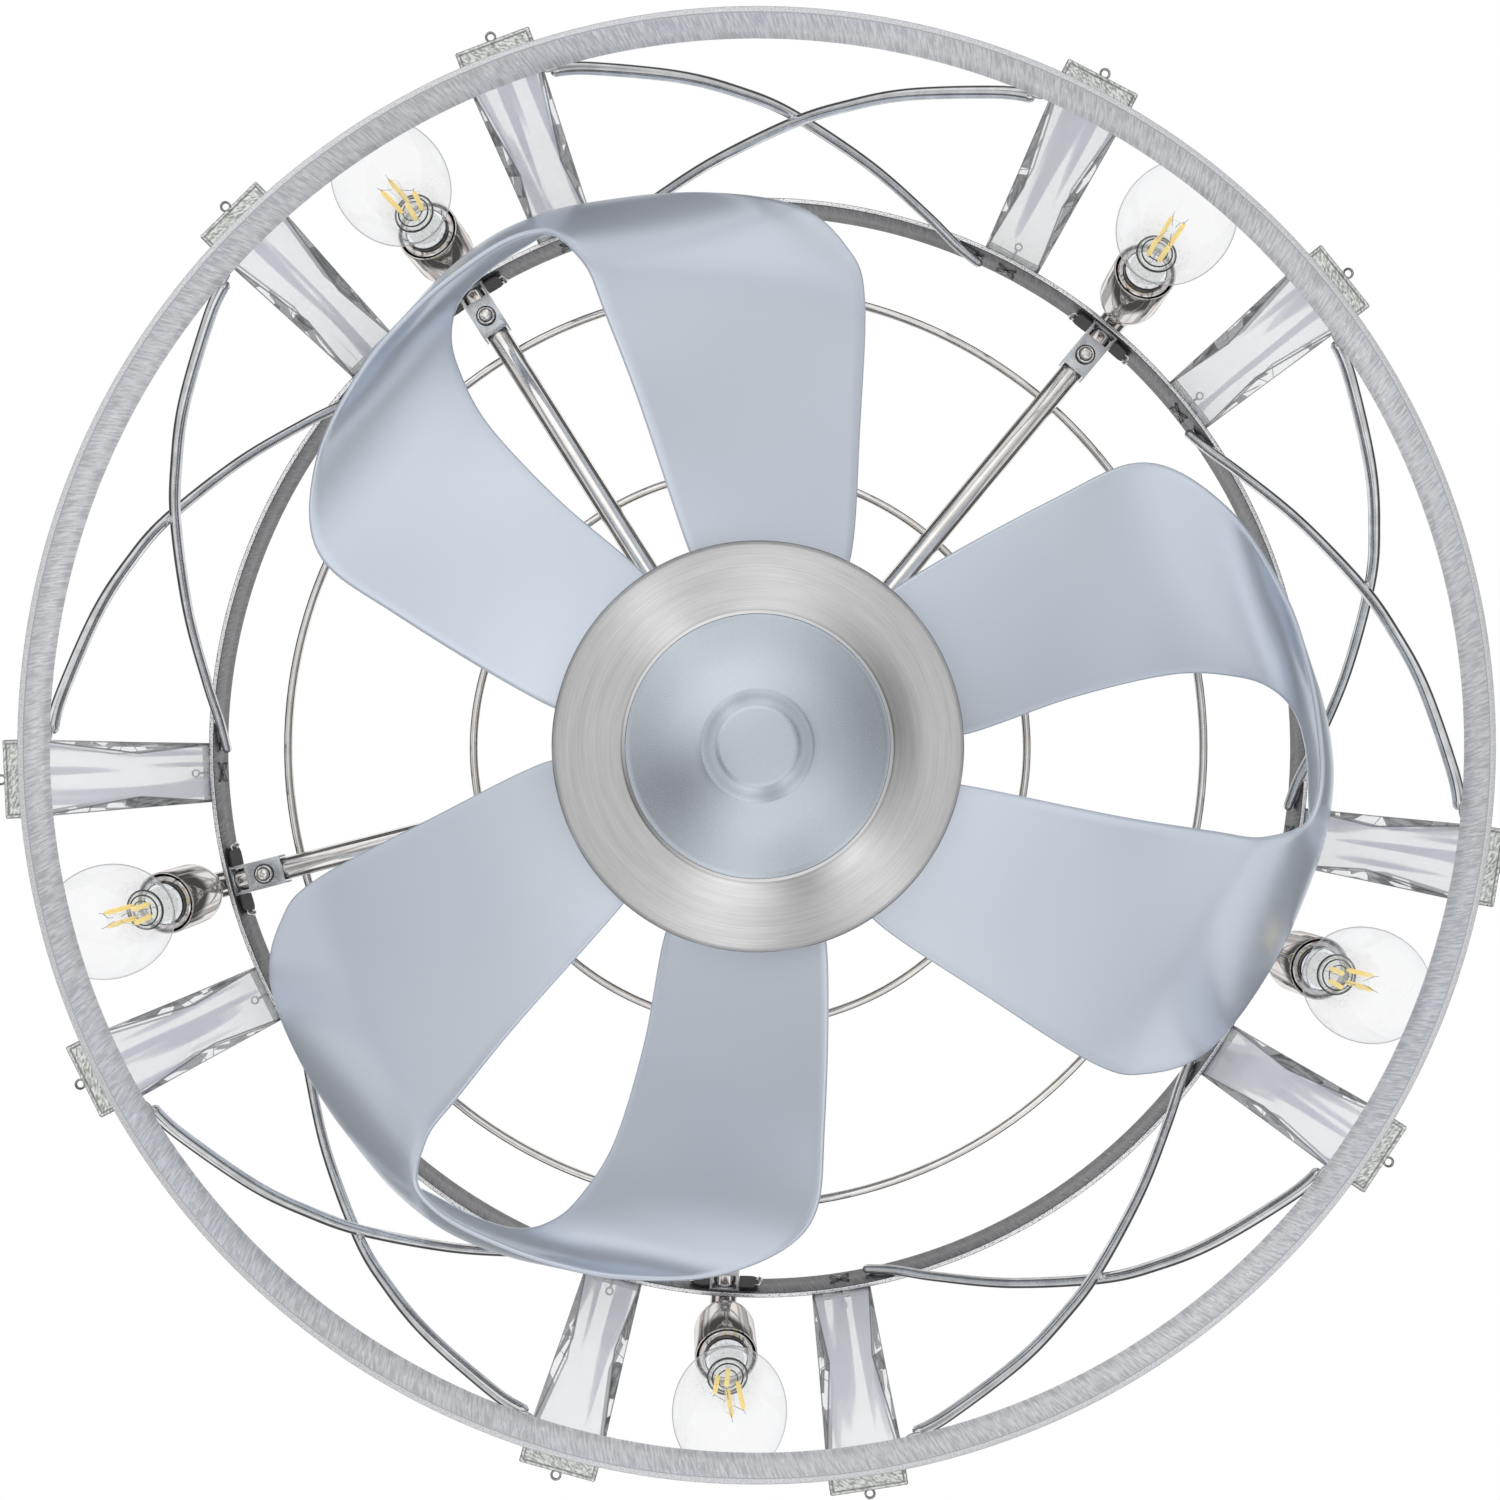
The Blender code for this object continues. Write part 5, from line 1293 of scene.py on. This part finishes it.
def canopyScrewMesh():  # a round-headed screw with a recess
    start = canopy["radius"] + layout["gap"]
    top = start + sideScrew["headHigh"]
    r, recess, shank = sideScrew["head"], sideScrew["recess"], sideScrew["shank"]
    profile = [
        (0.0, start + 0.0010), (recess, start + 0.0010), (recess, top), (0.0028, top + 0.0004),
        (r - 0.0004, top), (r, start + 0.0014), (r, start), (shank, start),
        (shank, start - sideScrew["long"]), (0.0, start - sideScrew["long"]),
    ]
    return lathe(profile, 36, alongX(sideScrew["z"]), sharp=30.0)


def ceilingBracketMesh():
    shape = fromNode("ceiling_bracket")
    bevelled(shape, 0.00025, 50.0)
    return toMesh(shape, 36.0)


fit("canopyShell", canopyMesh(), "frame", "nickel", ["canopy"])
fit("hangerTube", hangerMesh(), "frame", "nickel", ["hanger_tube"])
sideScrews = numbered("canopy_screw", (1, 2))
fitRound("canopyScrews", canopyScrewMesh(), "nickel", "nickel", sideScrews, count=2, phase=0.0)
fit("ceilingBracket", ceilingBracketMesh(), "frame", "darkSteel", ["ceiling_bracket"])
print("ceiling pieces done")


# Motor shroud, and the motor pieces that keep the CAD's shapes

shroud = {"radius": 0.078, "wall": 0.0015, "corner": 0.008, "hole": 0.0143, "groove": 0.0006}
keptNodes = {
    "motor_shaft": "darkSteel", "upper_bearing": "case", "lower_bearing": "case", "rotor_cover": "case",
    "rotor_bell": "case", "stator": "winding", "blade_hub": "darkSteel", "blade_clamp": "darkSteel",
}


def shroudMesh():
    low, high = levels("motor_shroud")
    r, wall, corner, hole, groove = (shroud[name] for name in ("radius", "wall", "corner", "hole", "groove"))
    centre = (r - corner, high - corner)
    profile = [
        *arc(centre, corner, 90.0, 0.0, 10), (r, low + 0.004), (r - groove, low + 0.0036),
        (r - groove, low + 0.0030), (r, low + 0.0026), (r, low + 0.0003), (r - 0.0003, low), (r - wall, low),
        *arc(centre, corner - wall, 0.0, 90.0, 10), (hole, high - wall), (hole, high),
    ]
    return lathe(profile, 144, closed=True, sharp=30.0)


fit("motorShroud", shroudMesh(), "frame", "nickel", ["motor_shroud"])
for node, finish in keptNodes.items():
    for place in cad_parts[node].material_slots:
        place.material = finishes[finish]
print("motor done")


# Hub cover, a spun dish, and the cap in it

cover = {"radius": 0.0775, "wall": 0.0012, "deep": 0.0135, "floor": 0.0484, "hole": 0.008, "roll": 0.0009}
cap = {"edge": 0.0481, "wall": 0.0018, "lip": 0.0012, "cone": 0.0068, "boss": 0.0171, "fillet": 0.003}


def coverMesh():
    bottom, lip = levels("hub_cover")
    r, wall, floor, hole, roll = (cover[name] for name in ("radius", "wall", "floor", "hole", "roll"))
    top = bottom + wall
    rim = top + cover["deep"]
    back = r - wall
    turnedIn = arc((r - roll, rim - wall + roll), roll, 0.0, -60.0, 6)
    middle = ((r - 0.0096, rim - wall - 0.0052), (floor + 0.011, bottom + 0.0040))
    profile = [
        (r - 0.0002, lip), (r, lip - 0.0002), *turnedIn[:-1],
        *bezier(turnedIn[-1], *middle, (floor, bottom), 16), (floor - 0.0008, bottom), (hole, bottom),
        (hole, top), (floor - wall, top), (back - 0.0004, rim), (back, rim + 0.0003), (back, lip - 0.0002),
        (back + 0.0002, lip),
    ]
    return lathe(profile, 216, closed=True, sharp=28.0)


def capMesh():
    bottom, top = levels("hub_cap")
    edge, boss, thick = cap["edge"], cap["boss"], cap["wall"]
    edgeLow = top - cap["lip"]
    coneLow = edgeLow - cap["cone"]
    foot = boss + cap["fillet"]
    cone = bezier(
        (edge - 0.0008, edgeLow - 0.0004), (edge - 0.010, edgeLow - 0.0030), (foot + 0.010, coneLow + 0.0012),
        (foot + 0.0012, coneLow + 0.0001), 16,
    )
    rise = bezier(
        (foot + 0.0008, coneLow), (boss + 0.0016, coneLow - 0.0003), (boss - 0.0008, bottom + 0.0003),
        (boss - 0.0040, bottom), 24,
    )
    profile = [
        (edge - 0.0003, top), (edge, top - 0.0003), (edge, edgeLow + 0.0004),
        (edge - 0.0003, edgeLow - 0.0001), *cone, *rise, (0.0, bottom), (0.0, bottom + thick),
        (boss - thick, bottom + thick), (foot, coneLow + thick), (edge - thick, edgeLow + thick / 2),
        (edge - thick, top),
    ]
    return lathe(profile, 216, closed=True, sharp=28.0)


fit("hubCover", coverMesh(), "rotor", "spun", ["hub_cover"])
fit("hubCap", capMesh(), "rotor", "capSilver", ["hub_cap"])
print("hub done")


# Looped blades: share of the tip radius, degrees from the loop's middle, share of the rise

blade = {
    "tip": 0.228, "rise": 0.025, "thick": 0.0022, "bow": 0.006, "camber": 0.002, "rootZ": -0.1527,
    "steps": 10, "across": 14,
}
highEdge = (
    (0.171, -54.5, 0.00), (0.219, -52.0, 0.00), (0.272, -50.5, 0.00), (0.363, -52.0, 0.27),
    (0.581, -43.7, 0.51), (0.805, -39.4, 0.67), (0.889, -36.2, 0.75), (0.955, -30.2, 0.83),
    (0.983, -19.8, 0.87), (1.000, -9.0, 0.91), (0.980, -1.5, 0.93), (0.971, 3.5, 0.93),
    (0.952, 7.6, 0.91), (0.912, 10.4, 0.85), (0.851, 12.3, 0.79), (0.738, 13.9, 0.71),
    (0.555, 12.9, 0.59), (0.359, 7.5, 0.31), (0.272, 8.5, 0.00), (0.219, 7.0, 0.00), (0.171, 4.5, 0.00),
)
lowEdge = (
    (0.171, -4.5, 0.00), (0.219, -7.0, 0.00), (0.272, -8.5, 0.00), (0.351, -6.5, -0.17),
    (0.609, -6.9, -0.29), (0.768, -6.5, -0.29), (0.832, -6.4, -0.29), (0.873, -5.65, -0.25),
    (0.906, -4.7, -0.21), (0.930, -3.2, -0.17), (0.941, 0.5, -0.13), (0.936, 5.5, -0.13),
    (0.925, 12.0, -0.17), (0.910, 20.5, -0.19), (0.876, 31.0, -0.21), (0.800, 40.2, -0.21),
    (0.637, 44.1, -0.19), (0.351, 53.2, -0.11), (0.272, 50.5, 0.00), (0.219, 52.0, 0.00), (0.171, 54.5, 0.00),
)
bowShares = (0, 0, 0, 0, 0, 0, 0, 0, 0.2, 0.6, 1, 1, 0.8, 0.4, 0.15, 0, 0, 0, 0, 0, 0)
camberShares = (0, 0, 0, 0.3, 1, 1, 1, 0.9, 0.6, 0.2, 0, 0, 0.2, 0.6, 0.9, 1, 1, 0.3, 0, 0, 0)


def bladeRails():
    high, low = (
        [polar(reach * blade["tip"], -math.radians(angle), blade["rootZ"] + blade["rise"] * rise)
         for reach, angle, rise in rows]
        for rows in (highEdge, lowEdge)
    )
    middle = []
    for a, b, bow, camber in zip(high, low, bowShares, camberShares):
        centre = (a + b) / 2
        way = outward(centre) * (2 * blade["bow"] * bow)
        middle.append(centre + way + up(2 * blade["camber"] * camber))
    return [smoothThrough(rows, blade["steps"]) for rows in (high, middle, low)]


def roundEnd(end, beside, normal):  # the half round along a blade's edge
    half = blade["thick"] / 2
    edge = (end - beside).normalized()
    turns = [math.pi * k / 6 for k in range(7)]
    return [end - edge * half + edge * (half * math.sin(a)) + normal * (half * math.cos(a)) for a in turns]


def bladeMesh():
    across = blade["across"]
    half = blade["thick"] / 2
    shares = [(1 - math.cos(math.pi * i / across)) / 2 * 0.35 + i / across * 0.65 for i in range(across + 1)]
    grid = []
    for a, c, b in zip(*bladeRails()):
        grid.append([a * (1 - v) ** 2 + c * (2 * v * (1 - v)) + b * v ** 2 for v in shares])
    rows = []
    last = len(grid) - 1
    for i, line in enumerate(grid):
        after, before = grid[min(i + 1, last)], grid[max(i - 1, 0)]
        normals = []
        for j in range(across + 1):
            over = line[min(j + 1, across)] - line[max(j - 1, 0)]
            normals.append((after[j] - before[j]).cross(over).normalized())
        rows.append([
            *(line[j] + normals[j] * half for j in range(1, across)),
            *roundEnd(line[across], line[across - 1], normals[across]),
            *(line[j] - normals[j] * half for j in range(across - 1, 0, -1)),
            *roundEnd(line[0], line[1], -normals[0]),
        ])
    shape = bmesh.new()
    skin(shape, rows)
    return toMesh(shape, 50.0)


loopShape = bladeMesh()
for index in range(layout["loops"]):
    mesh = loopShape.copy()
    mesh.transform(Matrix.Rotation(layout["loopPhase"] + index * math.tau / layout["loops"], 4, "Z"))
    fit(f"bladeLoop{index + 1}", mesh, "rotor", "bladeSilver", [f"blade_loop_{index + 1}"])
print("blades done")


# Floor, light and camera

studio = {
    "floorZ": -1.35, "floorRadius": 3.4, "drop": 1.2, "world": 0.95, "aim": up(-0.13),
    "lamps": (((-0.75, -0.85, -1.05), 0.9, 2.6), ((0.9, 0.7, -0.9), 0.8, 1.4)),  # place, size, power
}
view = {
    "x": 0.003, "y": 0.003, "z": -0.582, "sensorWidth": 36.0, "lens": 26.856, "shiftX": -0.0106,
    "shiftY": 0.003, "clipStart": 0.01,
}
lobes = {  # bearing in degrees, narrowness, brightness
    "outer": (
        (231.0, 30.0, 0.20), (232.0, 150.0, 0.12), (50.0, 34.0, 0.22), (44.0, 90.0, 0.06),
        (103.0, 18.0, 0.32), (276.0, 12.0, 0.24), (76.0, 60.0, -0.12),
    ),
    "inner": (
        (50.0, 60.0, 0.16), (100.0, 18.0, 0.16), (231.0, 40.0, 0.10), (268.0, 20.0, 0.06),
        (345.0, 5.0, -0.34), (70.0, 60.0, -0.14),
    ),
    "core": (
        (250.0, 1.5, 0.52), (95.0, 5.0, 0.40), (42.0, 14.0, 0.28), (152.0, 8.0, -0.40), (345.0, 5.0, -0.06),
    ),
}
stripes = ((5.0, 0.6, 0.5), (11.0, 1.2, 0.3), (19.0, 2.0, 0.2))  # number round, shift, share


def mirrored(sheet, turn, z):  # what polished pieces mirror, by bearing and height
    outer, inner, core = (
        sum(turn.lobe(centre, power) * share for centre, power, share in lobes[name])
        for name in ("outer", "inner", "core")
    )
    outer = outer + inner * (1.0 - z.step(-0.62, -0.50))
    low = z.step(-0.80, -0.72)
    straight = 1.0 - z.step(-0.992, -0.96)
    below = (0.70 + outer) * low + (0.66 + core * (1.0 - straight) + straight * 0.16) * (1.0 - low)
    below = below - z.within(-0.81, -0.78, -0.74, -0.71) * 0.34
    striped = sum((turn * count + shift).sine() * share for count, shift, share in stripes)
    risen = z.step(0.45, 0.62)
    beyond = 0.08 * (1.0 - risen) + (0.52 + striped.step(-0.3, 0.3) * 0.48) * risen
    level = z.step(-0.34, -0.16)
    return below * (1.0 - level) + beyond * level


def floorRecipe():
    material = bpy.data.materials.new("paleFloor")
    sheet = sheetOf(material)
    path = sheet.add("ShaderNodeLightPath", output="Is Camera Ray")
    shown = path.most(path.out("Is Glossy Ray")).most(path.out("Is Transmission Ray"))
    tone = sheet.blend(sheet.noise(sheet.place(), 30.0, 3.0), grey(0.80), grey(0.84))
    colours = (tone, grey(0.30), grey(0.0))
    matt, soft, dull = (sheet.add("ShaderNodeBsdfDiffuse", links={"Color": colour}) for colour in colours)
    x, y, _ = sheet.axes(sheet.place())
    away = (x * x + y * y + studio["drop"] ** 2).root()
    mirror = mirrored(sheet, sheet.bearing(x, y), -studio["drop"] / away)
    polished = path.out("Is Glossy Ray") * (1.0 - path)
    strength = polished * mirror + (1.0 - polished) * 0.72
    soft = sheet.add("ShaderNodeMixShader", links={0: polished, 1: soft, 2: dull})
    glow = sheet.add("ShaderNodeEmission", links={"Color": grey(1.0), "Strength": strength})
    bright = sheet.add("ShaderNodeAddShader", links={0: soft, 1: glow})
    mixed = sheet.add("ShaderNodeMixShader", links={0: shown, 1: matt, 2: bright})
    sheet.add("ShaderNodeOutputMaterial", links={"Surface": mixed})
    return material


def makeFloor():
    shape = bmesh.new()
    under = Matrix.Translation(up(studio["floorZ"]))
    bmesh.ops.create_circle(shape, cap_ends=True, segments=96, radius=studio["floorRadius"], matrix=under)
    mesh = bpy.data.meshes.new("floor")
    shape.to_mesh(mesh)
    shape.free()
    mesh.materials.append(floorRecipe())
    floor = linked("floor", mesh)


def makeWorld():
    world = bpy.data.worlds.new("studio")
    bpy.context.scene.world = world
    sheet = sheetOf(world)
    path = sheet.add("ShaderNodeLightPath", output="Is Camera Ray")
    glossy = path.out("Is Glossy Ray")
    through = path.out("Is Transmission Ray")
    x, y, z = sheet.axes(sheet.add("ShaderNodeTexCoord", output="Generated"))
    mirror = mirrored(sheet, sheet.bearing(x, y), z)
    clear = 1.0 - z.within(-0.30, 0.0, 0.15, 0.45) * 0.3
    rest = 1.0 - path.most(glossy).most(through)
    strength = path + glossy * mirror + through * clear * (1.0 - glossy) + rest * studio["world"]
    back = sheet.add("ShaderNodeBackground", links={"Color": grey(1.0), "Strength": strength})
    sheet.add("ShaderNodeOutputWorld", links={"Surface": back})


def makeLamps():
    for number, (place, size, power) in enumerate(studio["lamps"], 1):
        light = bpy.data.lights.new(f"softLamp{number}", "AREA")
        light.shape = "DISK"
        light.size = size
        light.energy = power
        lit = linked(f"softLamp{number}", light)
        lit.location = place
        lit.rotation_euler = (studio["aim"] - Vector(place)).to_track_quat("-Z", "Y").to_euler()
        lit.visible_camera = False
        lit.visible_glossy = False


def makeCamera():  # straight up from below, its centre a little right and below the fan's axis
    camera = bpy.data.cameras.new("camera")
    camera.sensor_width = view["sensorWidth"]
    camera.lens = view["lens"]
    camera.shift_x = view["shiftX"]
    camera.shift_y = view["shiftY"]
    camera.clip_start = view["clipStart"]
    seen = linked("camera", camera)
    seen.matrix_world = Matrix((
        (1.0, 0.0, 0.0, view["x"]), (0.0, -1.0, 0.0, view["y"]), (0.0, 0.0, -1.0, view["z"]),
        (0.0, 0.0, 0.0, 1.0),
    ))
    bpy.context.scene.camera = seen


makeFloor()
makeWorld()
makeLamps()
makeCamera()
bpy.context.scene.view_settings.view_transform = "Standard"
print("studio done")
